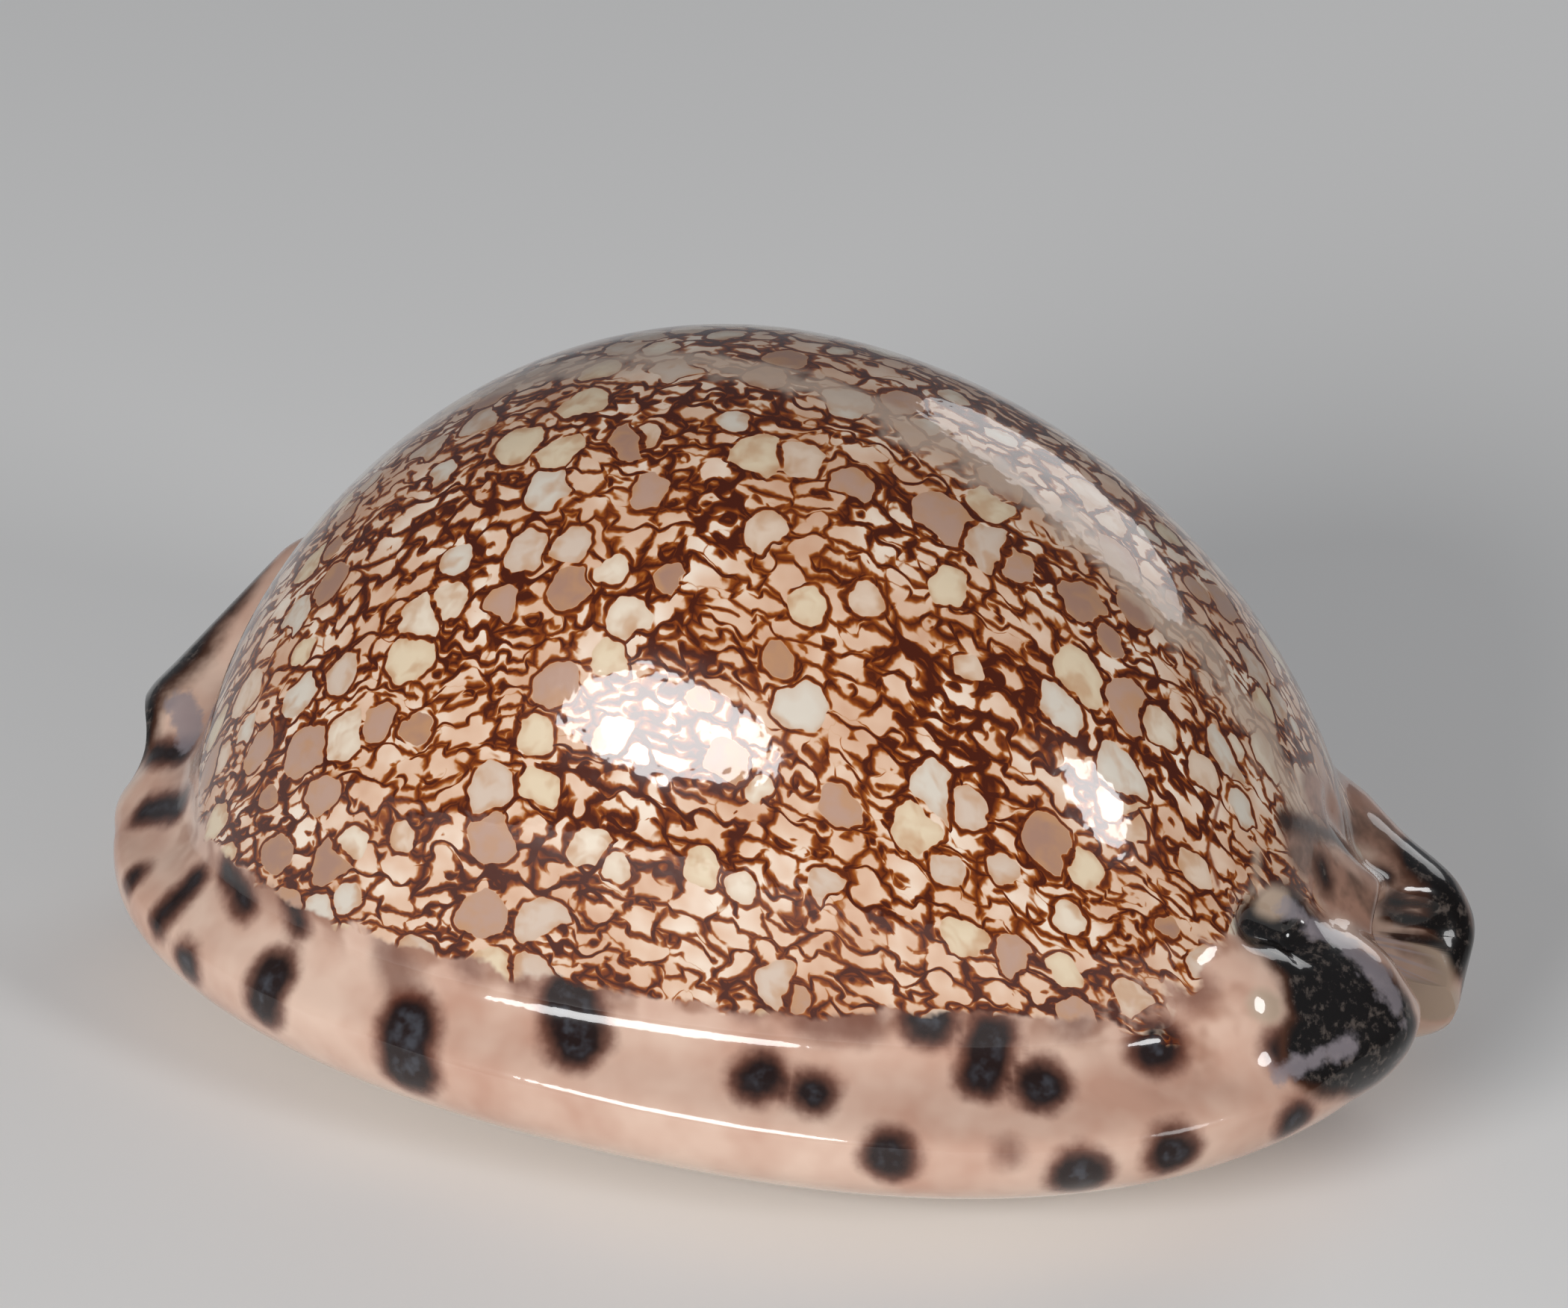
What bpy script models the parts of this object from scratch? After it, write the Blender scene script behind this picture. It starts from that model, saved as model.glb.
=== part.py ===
"""A glossy cowrie shell: one hollow solid with a humped back, thick margins and a toothed slit below.

The frame has +X toward the spire end, -Y toward the inner lip, +Z up, and the base on Z = 0.
Lengths are in millimetres until the vertices are placed.
"""

import math

import bmesh
import bpy
import numpy as np

MM = 0.001

# Finished length, and the width and height it is drawn with before the last scaling
LENGTH = 70.0
WIDTH = 48.0
HEIGHT = 36.6

# Humped back, an egg that sits a little toward the spire end
BACK_MIDDLE = (-1.8, -0.5, 6.3)
BACK_FRONT_REACH = 28.3
BACK_REAR_REACH = 32.3
BACK_HALF_WIDTH = 20.4
BACK_SIDE_FULLNESS = 2.3
BACK_END_FULLNESS = 1.95

# Thick margin that runs all around the foot of the back
MARGIN_FRONT_REACH = 34.4
MARGIN_REAR_REACH = 34.1
MARGIN_LEVEL = 6.3
MARGIN_RISE = 3.3
MARGIN_PLAN_FULLNESS = 2.2
MARGIN_EDGE_FULLNESS = 2.45
BASE_EDGE_FULLNESS = 2.7
MARGIN_EGG = 0.08
MARGIN_FRONT_LIFT = 0.4
MARGIN_REAR_LIFT = 1.2
MARGIN_LIFT_END = 1.2
MARGIN_FIELD_DEPTH = 7.2
MARGIN_BLEND = 3.0

# Lobes at both ends: start, end, start radius, end radius
REAR_OUTER_LOBE = ((27.4, 7.2, 11.4), (31.8, 5.6, 9.0), 2.9, 2.8)
REAR_OUTER_TIP = ((31.4, 5.4, 8.6), (31.6, 4.2, 5.0), 2.6, 3.0)
REAR_INNER_LOBE = ((26.5, -9.0, 9.7), (30.7, -4.8, 9.0), 3.8, 3.3)
REAR_SHELF = ((26.8, -1.4, 12.4), (30.6, 0.8, 10.6), 2.6, 2.1)
FRONT_OUTER_LOBE = ((-26.9, 8.6, 14.4), (-31.6, 3.2, 9.0), 4.3, 4.0)
FRONT_INNER_LOBE = ((-26.8, -6.0, 7.6), (-30.4, -2.2, 7.6), 3.2, 3.0)
FRONT_SHELF = ((-27.6, -1.0, 9.2), (-31.6, 1.4, 9.4), 2.8, 2.7)
LOBES = (
    REAR_OUTER_LOBE,
    REAR_OUTER_TIP,
    REAR_INNER_LOBE,
    REAR_SHELF,
    FRONT_OUTER_LOBE,
    FRONT_INNER_LOBE,
    FRONT_SHELF,
)
LOBE_BLEND = 2.0

# Notches of the two canals, the pit of the spire and the groove beside the rear ridge
REAR_NOTCH = ((31.2, 0.8, 9.6), (37.5, 1.5, 11.0), 2.2, 4.2)
FRONT_NOTCH = ((-33.2, 1.0, 6.6), (-37.5, 0.8, 5.0), 1.6, 2.4)
SPIRE_PIT = ((27.4, -8.8, 14.6), (28.8, -7.2, 13.2), 1.0, 0.8)
RIDGE_GROOVE = ((29.2, 1.4, 16.6), (32.8, 3.0, 12.4), 0.7, 0.7)
CUTS = (REAR_NOTCH, FRONT_NOTCH, SPIRE_PIT, RIDGE_GROOVE)
NOTCH_BLEND = 1.1

# Slit along the base
SLIT_BOW = (1.8, 0.0021, -4.0)
SLIT_HALF_WIDTH = 1.5
SLIT_FRONT_EXTRA = 0.3
SLIT_FRONT_REACH = 35.0
SLIT_WIDEST_SHARE = 0.7
WIDEST_GAP_SINE = 0.9
LIP_RADIUS = 2.4
LIP_WALL_SHARE = 0.45

# Teeth on both lips
TOOTH_PITCH = 2.25
TOOTH_SPAN = 27.0
TOOTH_FADE = 4.0
TOOTH_HEIGHT = 0.55
INNER_LIP_SHIFT = 0.4

# Cavity
CAVITY_MIDDLE = (0.4, -0.4, 11.6)
CAVITY_REACH = 27.0
CAVITY_HALF_WIDTH = 18.3
CAVITY_TOP = 35.0
CAVITY_FLOOR = 5.4
CAVITY_FULLNESS = 2.2
CANAL_RADIUS = 2.0
CANAL_MOUTH = 60.0
CANAL_BLEND = 3.0
THINNEST_WALL = 1.4
WALL_GROWTH = 4.0
RIM_WALL = 0.7

# Rays that find the surfaces start on a line inside the shell
RAY_LINE_HALF = 21.0
RAY_LINE_LEVEL = 8.6
RAY_LINE_SLOPE = 0.04
RAY_REACH = 36.0
RAY_STRIDE = 0.5
RAY_HALVINGS = 20

# Mesh layout
END_ANGLE = math.radians(13.0)
END_STATIONS = 12
END_CLOSENESS = 1.5
STATIONS_PER_TOOTH = 2
OUTER_POINTS = 47
LIP_POINTS = 3
INNER_POINTS = 13
TURN_SAMPLES = 240
BASE_SAMPLES = 600
BEND_WEIGHT = 9.0
FLAT_DEPTH = 0.3
SHARP_ANGLE = math.radians(60.0)

SHELL_COLOUR = (0.55, 0.33, 0.20, 1.0)
SHELL_ROUGHNESS = 0.15


def blend(a, b, width):
    """Joins two signed distances with a soft fillet."""
    share = np.clip(0.5 + 0.5 * (b - a) / width, 0.0, 1.0)
    return b * (1.0 - share) + a * share - width * share * (1.0 - share)


def carve(body, tool, width):
    """Cuts a tool out of a body with a soft edge."""
    return -blend(-body, tool, width)


def taper(x, y, z, start, end, start_radius, end_radius):
    """Signed distance to a round bar that tapers from start to end."""
    run = [b - a for a, b in zip(start, end)]
    length_squared = sum(value * value for value in run)
    along = (x - start[0]) * run[0] + (y - start[1]) * run[1] + (z - start[2]) * run[2]
    along = np.clip(along / length_squared, 0.0, 1.0)
    gap = np.sqrt(
        (x - start[0] - run[0] * along) ** 2
        + (y - start[1] - run[1] * along) ** 2
        + (z - start[2] - run[2] * along) ** 2
    )
    return gap - start_radius - (end_radius - start_radius) * along


def back(x, y, z):
    """Field of the humped back, negative inside."""
    middle_x, middle_y, middle_z = BACK_MIDDLE
    reach = np.where(x < middle_x, BACK_FRONT_REACH, BACK_REAR_REACH)
    rise = np.where(z > middle_z, HEIGHT - middle_z, middle_z)
    profile = np.abs((x - middle_x) / reach) ** BACK_END_FULLNESS
    profile += np.abs((z - middle_z) / rise) ** BACK_END_FULLNESS
    size = profile ** (BACK_SIDE_FULLNESS / BACK_END_FULLNESS)
    size += np.abs((y - middle_y) / BACK_HALF_WIDTH) ** BACK_SIDE_FULLNESS
    return (size ** (1.0 / BACK_SIDE_FULLNESS) - 1.0) * BACK_HALF_WIDTH


def margin(x, y, z):
    """Field of the thick margin, a flat egg whose ends are lifted."""
    share = x / np.where(x < 0.0, MARGIN_FRONT_REACH, MARGIN_REAR_REACH)
    half_width = 0.5 * WIDTH * (1.0 + MARGIN_EGG * share)
    share_within = np.clip(share, -MARGIN_LIFT_END, MARGIN_LIFT_END)
    lift = np.where(x < 0.0, MARGIN_FRONT_LIFT, MARGIN_REAR_LIFT) * share_within**4
    height = z - lift - MARGIN_LEVEL
    thickness = np.where(height > 0.0, MARGIN_RISE, MARGIN_LEVEL)
    fullness = np.where(height > 0.0, MARGIN_EDGE_FULLNESS, BASE_EDGE_FULLNESS)
    plan = np.abs(share) ** MARGIN_PLAN_FULLNESS + np.abs(y / half_width) ** MARGIN_PLAN_FULLNESS
    size = plan ** (fullness / MARGIN_PLAN_FULLNESS) + np.abs(height / thickness) ** fullness
    return (size ** (1.0 / fullness) - 1.0) * MARGIN_FIELD_DEPTH


def outside(x, y, z):
    """Field of the whole outer surface."""
    body = blend(margin(x, y, z), back(x, y, z), MARGIN_BLEND)
    for lobe in LOBES:
        body = blend(body, taper(x, y, z, *lobe), LOBE_BLEND)
    for cut in CUTS:
        body = carve(body, taper(x, y, z, *cut), NOTCH_BLEND)
    return body


def slit_middle(x):
    """Y of the slit's middle line, bowed toward the outer lip."""
    shift, bow, peak = SLIT_BOW
    return shift - bow * (x - peak) ** 2


def ray_level(x):
    """Z of the line that the rays start on."""
    return RAY_LINE_LEVEL + RAY_LINE_SLOPE * x


def cavity(x, y, z):
    """Field of the hollow inside, with a canal to each end."""
    middle_x, middle_y, middle_z = CAVITY_MIDDLE
    rise = np.where(z > middle_z, CAVITY_TOP - middle_z, middle_z - CAVITY_FLOOR)
    size = (
        np.abs((x - middle_x) / CAVITY_REACH) ** CAVITY_FULLNESS
        + np.abs((y - middle_y) / CAVITY_HALF_WIDTH) ** CAVITY_FULLNESS
        + np.abs((z - middle_z) / rise) ** CAVITY_FULLNESS
    )
    chamber = (size ** (1.0 / CAVITY_FULLNESS) - 1.0) * CAVITY_HALF_WIDTH
    front, rear = [
        (bend_x, slit_middle(bend_x), ray_level(bend_x)) for bend_x in (-RAY_LINE_HALF, RAY_LINE_HALF)
    ]
    canal = taper(x, y, z, front, rear, CANAL_RADIUS, CANAL_RADIUS)
    for bend, mouth_x in ((front, -CANAL_MOUTH), (rear, CANAL_MOUTH)):
        mouth = (mouth_x, bend[1], bend[2])
        canal = np.minimum(canal, taper(x, y, z, bend, mouth, CANAL_RADIUS, CANAL_RADIUS))
    return blend(chamber, canal, CANAL_BLEND)


class Rays:
    """Rays that fan out from the line inside the shell, one cone of them for each station."""

    def __init__(self, cone_angles):
        self.cone = np.asarray(cone_angles)[:, None]
        self.start_x = -np.cos(self.cone) * RAY_LINE_HALF
        self.start_y = slit_middle(self.start_x)
        self.start_z = ray_level(self.start_x)

    def point(self, turn, reach):
        """Returns x, y, z at a reach along the ray whose angle around X is turn."""
        x = self.start_x - np.cos(self.cone) * reach
        y = self.start_y + np.sin(self.cone) * np.cos(turn) * reach
        z = self.start_z + np.sin(self.cone) * np.sin(turn) * reach
        return x, y, z

    def cast(self, field, turn):
        """Returns the reach at which the rays first leave a field."""
        near = np.zeros(np.broadcast_shapes(self.cone.shape, np.shape(turn)))
        within = np.ones(near.shape, dtype=bool)
        for _ in range(round(RAY_REACH / RAY_STRIDE)):
            within &= field(*self.point(turn, near + RAY_STRIDE)) < 0.0
            near = np.where(within, near + RAY_STRIDE, near)
        far = near + RAY_STRIDE
        for _ in range(RAY_HALVINGS):
            middle = 0.5 * (near + far)
            inside = field(*self.point(turn, middle)) < 0.0
            near = np.where(inside, middle, near)
            far = np.where(inside, far, middle)
        return 0.5 * (near + far)


def cone_angles():
    """Angles of the stations' cones: evenly spaced teeth in the middle, closer at both ends."""
    fine = np.linspace(END_ANGLE, math.pi - END_ANGLE, BASE_SAMPLES)
    rays = Rays(fine)
    down = np.full((1, 1), -0.5 * math.pi)
    base_x = rays.point(down, rays.cast(outside, down))[0][:, 0]
    count = round(2.0 * TOOTH_SPAN / TOOTH_PITCH) * STATIONS_PER_TOOTH
    middle_x = np.linspace(-TOOTH_SPAN, TOOTH_SPAN, count + 1)
    middle = np.interp(middle_x, base_x, fine)
    steps = (np.arange(END_STATIONS) / END_STATIONS) ** END_CLOSENESS
    front = END_ANGLE + (middle[0] - END_ANGLE) * steps
    rear = math.pi - END_ANGLE - (math.pi - END_ANGLE - middle[-1]) * steps[::-1]
    return np.concatenate([front, middle, rear])


def tooth_height(x, shift):
    """Height of the ridges at x, fading out toward both ends."""
    wave = 0.5 + 0.5 * np.cos(2.0 * math.pi * (x - shift * TOOTH_PITCH) / TOOTH_PITCH)
    fade = np.clip((TOOTH_SPAN - np.abs(x)) / TOOTH_FADE, 0.0, 1.0)
    return TOOTH_HEIGHT * wave * fade


def slit_half_width(x):
    """Half the slit's width at x, a little wider toward the front canal."""
    forward = np.clip(-x / SLIT_FRONT_REACH, 0.0, 1.0)
    return SLIT_HALF_WIDTH + SLIT_FRONT_EXTRA * np.sin(math.pi * forward) ** 2


def turns_between(gap, share):
    """Angles around X at shares of the way from one side of the slit to the other."""
    return -0.5 * math.pi + gap + (2.0 * math.pi - 2.0 * gap) * share


def outline_shares(gap):
    """Shares of the way around the outline for its points, closer together where it bends."""
    middle = Rays([0.5 * math.pi])
    share = np.linspace(0.0, 1.0, TURN_SAMPLES)
    turn = turns_between(gap, share[None, :])
    points = np.stack(middle.point(turn, middle.cast(outside, turn)), axis=-1)[0]
    step = np.diff(points, axis=0)
    length = np.linalg.norm(step, axis=1)
    unit = step / length[:, None]
    bend = np.arccos(np.clip((unit[1:] * unit[:-1]).sum(axis=1), -1.0, 1.0))
    weight = np.concatenate([[0.0, length[0]], length[1:] + BEND_WEIGHT * bend])
    travelled = np.cumsum(weight)
    return np.interp(np.linspace(0.0, travelled[-1], OUTER_POINTS), travelled, share)


def shell_rings():
    """Returns the outer and inner halves of each station's ring as arrays of points."""
    rays = Rays(cone_angles())
    spread = np.sin(rays.cone)
    down = np.full((1, 1), -0.5 * math.pi)
    base_reach = rays.cast(outside, down)
    base_x = rays.point(down, base_reach)[0]
    outer_depth = base_reach * spread
    inner_depth = np.minimum(rays.cast(cavity, down) * spread, outer_depth - RIM_WALL * spread)
    lip = np.minimum(LIP_RADIUS, LIP_WALL_SHARE * (outer_depth - inner_depth))
    half_width = np.minimum(slit_half_width(base_x), SLIT_WIDEST_SHARE * inner_depth)

    outer_gap = np.arcsin(np.clip((half_width + lip) / outer_depth, 0.0, WIDEST_GAP_SINE))
    outer_turn = turns_between(outer_gap, outline_shares(outer_gap.min()))
    outer_reach = rays.cast(outside, outer_turn)
    outer = np.stack(rays.point(outer_turn, outer_reach), axis=-1)

    inner_gap = np.arcsin(np.clip(half_width / inner_depth, 0.0, WIDEST_GAP_SINE))
    inner_share = np.linspace(1.0, 0.0, INNER_POINTS)[None, :]
    inner_turn = turns_between(inner_gap, inner_share)
    wall = np.clip(WALL_GROWTH * (spread - math.sin(END_ANGLE)) + RIM_WALL, 0.0, THINNEST_WALL)
    inner_reach = np.minimum(rays.cast(cavity, inner_turn), rays.cast(outside, inner_turn) - wall)
    inner = np.stack(rays.point(inner_turn, inner_reach), axis=-1)

    outer_lip = lip_points(rays, outer[:, 0], lip, 1.0, 0.0)
    inner_lip = lip_points(rays, outer[:, -1], lip, -1.0, INNER_LIP_SHIFT)
    outer_half = np.concatenate([outer_lip, outer, inner_lip[:, ::-1]], axis=1)
    return placed(outer_half, inner)


def lip_points(rays, base_points, lip, side, shift):
    """Returns the rolled edge of one lip, from the slit out to the base."""
    lateral = base_points[:, 1:2] - rays.start_y
    depth = base_points[:, 2:3] - rays.start_z
    roll = np.linspace(0.5 * math.pi, 0.0, LIP_POINTS + 1)[None, :-1]
    tooth = tooth_height(base_points[:, 0:1], shift) * np.minimum(1.0, lip / LIP_RADIUS)
    radius = lip + tooth
    across = lateral - side * radius * np.sin(roll)
    up = depth + lip - radius * np.cos(roll)
    x = rays.start_x - np.hypot(across, up) / np.tan(rays.cone)
    return np.stack([x, rays.start_y + across, rays.start_z + up], axis=-1)


def placed(outer, inner):
    """Centres the shell over the origin, scales it to its length and flattens what it rests on."""
    low = outer.min(axis=(0, 1))
    high = outer.max(axis=(0, 1))
    middle = np.array([0.5 * (low[0] + high[0]), 0.5 * (low[1] + high[1]), low[2] + FLAT_DEPTH])
    scale = LENGTH / (high[0] - low[0])
    outer = (outer - middle) * scale
    inner = (inner - middle) * scale
    outer[:, :, 2] = np.maximum(outer[:, :, 2], 0.0)
    return outer, inner


def ring_at(bm, points):
    """Adds a closed ring of edges through the points."""
    verts = [bm.verts.new(point) for point in points]
    return [bm.edges.new((a, b)) for a, b in zip(verts, verts[1:] + verts[:1])], verts


def next_ring(bm, edges, verts, points):
    """Extrudes a ring and moves the new ring to its own station."""
    grown = bmesh.ops.extrude_edge_only(bm, edges=edges)["geom"]
    new_edges = [item for item in grown if isinstance(item, bmesh.types.BMEdge)]
    partner = {}
    for vert in verts:
        for edge in vert.link_edges:
            other = edge.other_vert(vert)
            if other in partner.values() or other in verts:
                continue
            if (other.co - vert.co).length == 0.0:
                partner[vert] = other
    new_verts = [partner[vert] for vert in verts]
    for vert, point in zip(new_verts, points):
        vert.co = point
    return new_edges, new_verts


def close_end(bm, verts, outer_count):
    """Joins the outer half of an end ring to its inner half, along the canal's rim."""
    outer = verts[:outer_count]
    inner = verts[outer_count:][::-1]
    partner = [round(k * (len(inner) - 1) / (outer_count - 1)) for k in range(outer_count)]
    for k in range(outer_count - 1):
        corners = [outer[k], outer[k + 1], inner[partner[k + 1]]]
        if partner[k] != partner[k + 1]:
            corners.append(inner[partner[k]])
        bm.faces.new(corners)


def shell_mesh():
    """Builds the shell ring by ring from the front canal to the rear one."""
    outer, inner = shell_rings()
    rings = np.concatenate([outer, inner], axis=1) * MM
    outer_count = outer.shape[1]
    bm = bmesh.new()
    edges, verts = ring_at(bm, rings[0].tolist())
    close_end(bm, verts, outer_count)
    for points in rings[1:].tolist():
        edges, verts = next_ring(bm, edges, verts, points)
    close_end(bm, verts, outer_count)
    bmesh.ops.triangulate(bm, faces=bm.faces, quad_method="FIXED")
    bmesh.ops.recalc_face_normals(bm, faces=bm.faces)
    mesh = bpy.data.meshes.new("cowrie_shell")
    bm.to_mesh(mesh)
    bm.free()
    mesh.shade_smooth()
    mesh.set_sharp_from_angle(angle=SHARP_ANGLE)
    return mesh


def shell_material():
    """Glossy enamel in the mean colour of the pattern."""
    material = bpy.data.materials.new("shell_enamel")
    material.use_nodes = True
    shader = material.node_tree.nodes["Principled BSDF"]
    shader.inputs["Base Color"].default_value = SHELL_COLOUR
    shader.inputs["Roughness"].default_value = SHELL_ROUGHNESS
    shader.inputs["Metallic"].default_value = 0.0
    return material


def main():
    """Clears the scene and makes the shell."""
    for item in list(bpy.data.objects):
        bpy.data.objects.remove(item)
    mesh = shell_mesh()
    mesh.materials.append(shell_material())
    shell = bpy.data.objects.new("cowrie_shell", mesh)
    bpy.context.scene.collection.objects.link(shell)


main()
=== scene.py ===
"""A glossy cowrie shell: cream back with a chestnut net pattern, peach margins with dark spots.

The shell stands on its base with +X toward the spire end and -Y toward the inner lip, as in the frame.
The form is drawn in millimetres and then fitted to the frame's own box.
"""

import logging
import math
from collections.abc import Callable
from dataclasses import dataclass, field
from enum import Enum

import bpy
import numpy as np
from mathutils import Matrix, Vector
from mathutils.bvhtree import BVHTree

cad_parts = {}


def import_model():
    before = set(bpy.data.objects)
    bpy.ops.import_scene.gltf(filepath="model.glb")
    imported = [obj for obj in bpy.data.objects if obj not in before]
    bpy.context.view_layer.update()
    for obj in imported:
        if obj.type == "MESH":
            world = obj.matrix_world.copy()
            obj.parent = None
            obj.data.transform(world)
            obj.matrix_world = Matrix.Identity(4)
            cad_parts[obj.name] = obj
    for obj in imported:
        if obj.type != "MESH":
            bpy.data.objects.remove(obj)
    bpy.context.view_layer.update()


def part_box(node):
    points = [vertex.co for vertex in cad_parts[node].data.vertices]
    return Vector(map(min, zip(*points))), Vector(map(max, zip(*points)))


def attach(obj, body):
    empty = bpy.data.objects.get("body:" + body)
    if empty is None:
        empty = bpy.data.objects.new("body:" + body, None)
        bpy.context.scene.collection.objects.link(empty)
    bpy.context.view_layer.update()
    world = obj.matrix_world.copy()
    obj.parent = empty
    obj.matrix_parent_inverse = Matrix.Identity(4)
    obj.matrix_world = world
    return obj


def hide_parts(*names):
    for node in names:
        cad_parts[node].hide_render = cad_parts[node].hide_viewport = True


LOG = logging.getLogger("cowrie")
MM = 0.001
NODE_NAME = "cowrie_shell"
PICTURE_WIDTH = 2100
PICTURE_HEIGHT = 1752

# Depth in mm of a point that is in no mark, and the length in mm of the bar for a round mark.
NOWHERE = -1.0e3
ROUND_RUN = 1.0e-3

Place = tuple[float, float, float]
Points = tuple[np.ndarray, np.ndarray, np.ndarray]
Shade = tuple[float, float, float, float]
Socket = bpy.types.NodeSocket


def soft_union(first: np.ndarray, second: np.ndarray, width: float) -> np.ndarray:
    """Joins two signed distances with a fillet.

    Args:
        first: Distances to the first form.
        second: Distances to the second form.
        width: Width of the fillet in mm.

    Returns:
        Distances to the joined form.
    """
    share = np.clip(0.5 + 0.5 * (second - first) / width, 0.0, 1.0)
    return second * (1.0 - share) + first * share - width * share * (1.0 - share)


def soft_step(value: np.ndarray, low: float, high: float) -> np.ndarray:
    """Rises smoothly from 0 at low to 1 at high.

    Args:
        value: The values to step.
        low: Value at which the result leaves 0.
        high: Value at which the result reaches 1.

    Returns:
        The stepped values.
    """
    share = np.clip((value - low) / (high - low), 0.0, 1.0)
    return share * share * (3.0 - 2.0 * share)


@dataclass(frozen=True)
class Bar:
    """A round bar that tapers from start to end, in mm."""

    start: Place
    end: Place
    start_radius: float
    end_radius: float

    def distance(self, place: Points) -> np.ndarray:
        """Measures how far points lie outside the bar.

        Args:
            place: Points' X, Y and Z in mm.

        Returns:
            Signed distances, negative inside.
        """
        run = [end - start for start, end in zip(self.start, self.end)]
        aside = [value - start for value, start in zip(place, self.start)]
        along = sum(value * step for value, step in zip(aside, run)) / sum(step * step for step in run)
        along = np.clip(along, 0.0, 1.0)
        gap = np.sqrt(sum((value - step * along) ** 2 for value, step in zip(aside, run)))
        return gap - self.start_radius - (self.end_radius - self.start_radius) * along


@dataclass
class ShellForm:
    """The form of the shell as soft unions of an egg, a margin and lobes, in mm as drawn."""

    width: float = 48.0
    height: float = 36.6
    back_middle: Place = (-1.8, -0.5, 6.3)
    back_front_reach: float = 28.3
    back_rear_reach: float = 32.3
    back_half_width: float = 20.4
    back_side_fullness: float = 2.3
    back_end_fullness: float = 1.95
    margin_front_reach: float = 34.4
    margin_rear_reach: float = 34.1
    margin_level: float = 6.3
    margin_rise: float = 3.3
    margin_plan_fullness: float = 2.2
    margin_edge_fullness: float = 2.45
    base_edge_fullness: float = 2.7
    margin_egg: float = 0.08
    margin_front_lift: float = 0.4
    margin_rear_lift: float = 1.2
    margin_lift_end: float = 1.2
    margin_field_depth: float = 7.2
    margin_blend: float = 3.0
    lobes: tuple[Bar, ...] = (
        Bar((27.4, 7.2, 11.4), (31.8, 5.6, 9.0), 2.9, 2.8),
        Bar((31.4, 5.4, 8.6), (31.6, 4.2, 5.0), 2.6, 3.0),
        Bar((26.5, -9.0, 9.7), (30.7, -4.8, 9.0), 3.8, 3.3),
        Bar((26.8, -1.4, 12.4), (30.6, 0.8, 10.6), 2.6, 2.1),
        Bar((-26.9, 8.6, 14.4), (-31.6, 3.2, 9.0), 4.3, 4.0),
        Bar((-26.8, -6.0, 7.6), (-30.4, -2.2, 7.6), 3.2, 3.0),
        Bar((-27.6, -1.0, 9.2), (-31.6, 1.4, 9.4), 2.8, 2.7),
    )
    lobe_blend: float = 2.0
    cuts: tuple[Bar, ...] = (
        Bar((31.2, 0.8, 9.6), (37.5, 1.5, 11.0), 2.2, 4.2),
        Bar((-33.2, 1.0, 6.6), (-37.5, 0.8, 5.0), 1.6, 2.4),
        Bar((27.4, -8.8, 14.6), (28.8, -7.2, 13.2), 1.0, 0.8),
        Bar((29.2, 1.4, 16.6), (32.8, 3.0, 12.4), 0.7, 0.7),
    )
    cut_blend: float = 1.1
    slit_shift: float = 1.8
    slit_bow: float = 0.0021
    slit_peak: float = -4.0
    slit_half: float = 1.5
    slit_front_extra: float = 0.3
    slit_front_reach: float = 35.0
    slit_widest_share: float = 0.7
    widest_gap_sine: float = 0.9
    lip_radius: float = 2.4
    lip_wall_share: float = 0.45
    tooth_pitch: float = 2.25
    tooth_span: float = 27.0
    tooth_fade: float = 4.0
    tooth_height: float = 0.55
    inner_lip_shift: float = 0.4
    cavity_middle: Place = (0.4, -0.4, 11.6)
    cavity_reach: float = 27.0
    cavity_half_width: float = 18.3
    cavity_top: float = 35.0
    cavity_floor: float = 5.4
    cavity_fullness: float = 2.2
    canal_radius: float = 2.0
    canal_mouth: float = 60.0
    canal_blend: float = 3.0
    thinnest_wall: float = 1.4
    wall_growth: float = 4.0
    rim_wall: float = 0.7
    line_half: float = 21.0
    line_level: float = 8.6
    line_slope: float = 0.04
    flat_depth: float = 0.3

    def back(self, place: Points) -> np.ndarray:
        """Works out the field of the humped back.

        Args:
            place: Points' X, Y and Z in mm as drawn.

        Returns:
            The field, about mm outside and negative inside.
        """
        x, y, z = place
        middle_x, middle_y, middle_z = self.back_middle
        reach = np.where(x < middle_x, self.back_front_reach, self.back_rear_reach)
        rise = np.where(z > middle_z, self.height - middle_z, middle_z)
        profile = np.abs((x - middle_x) / reach) ** self.back_end_fullness
        profile += np.abs((z - middle_z) / rise) ** self.back_end_fullness
        size = profile ** (self.back_side_fullness / self.back_end_fullness)
        size += np.abs((y - middle_y) / self.back_half_width) ** self.back_side_fullness
        return (size ** (1.0 / self.back_side_fullness) - 1.0) * self.back_half_width

    def margin(self, place: Points) -> np.ndarray:
        """Works out the field of the thick margin, a flat egg whose ends are lifted.

        Args:
            place: Points' X, Y and Z in mm as drawn.

        Returns:
            The field, about mm outside and negative inside.
        """
        x, y, z = place
        share = x / np.where(x < 0.0, self.margin_front_reach, self.margin_rear_reach)
        half_width = 0.5 * self.width * (1.0 + self.margin_egg * share)
        within = np.clip(share, -self.margin_lift_end, self.margin_lift_end)
        lift = np.where(x < 0.0, self.margin_front_lift, self.margin_rear_lift) * within**4
        height = z - lift - self.margin_level
        thickness = np.where(height > 0.0, self.margin_rise, self.margin_level)
        fullness = np.where(height > 0.0, self.margin_edge_fullness, self.base_edge_fullness)
        power = self.margin_plan_fullness
        plan = np.abs(share) ** power + np.abs(y / half_width) ** power
        size = plan ** (fullness / power) + np.abs(height / thickness) ** fullness
        return (size ** (1.0 / fullness) - 1.0) * self.margin_field_depth

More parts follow.
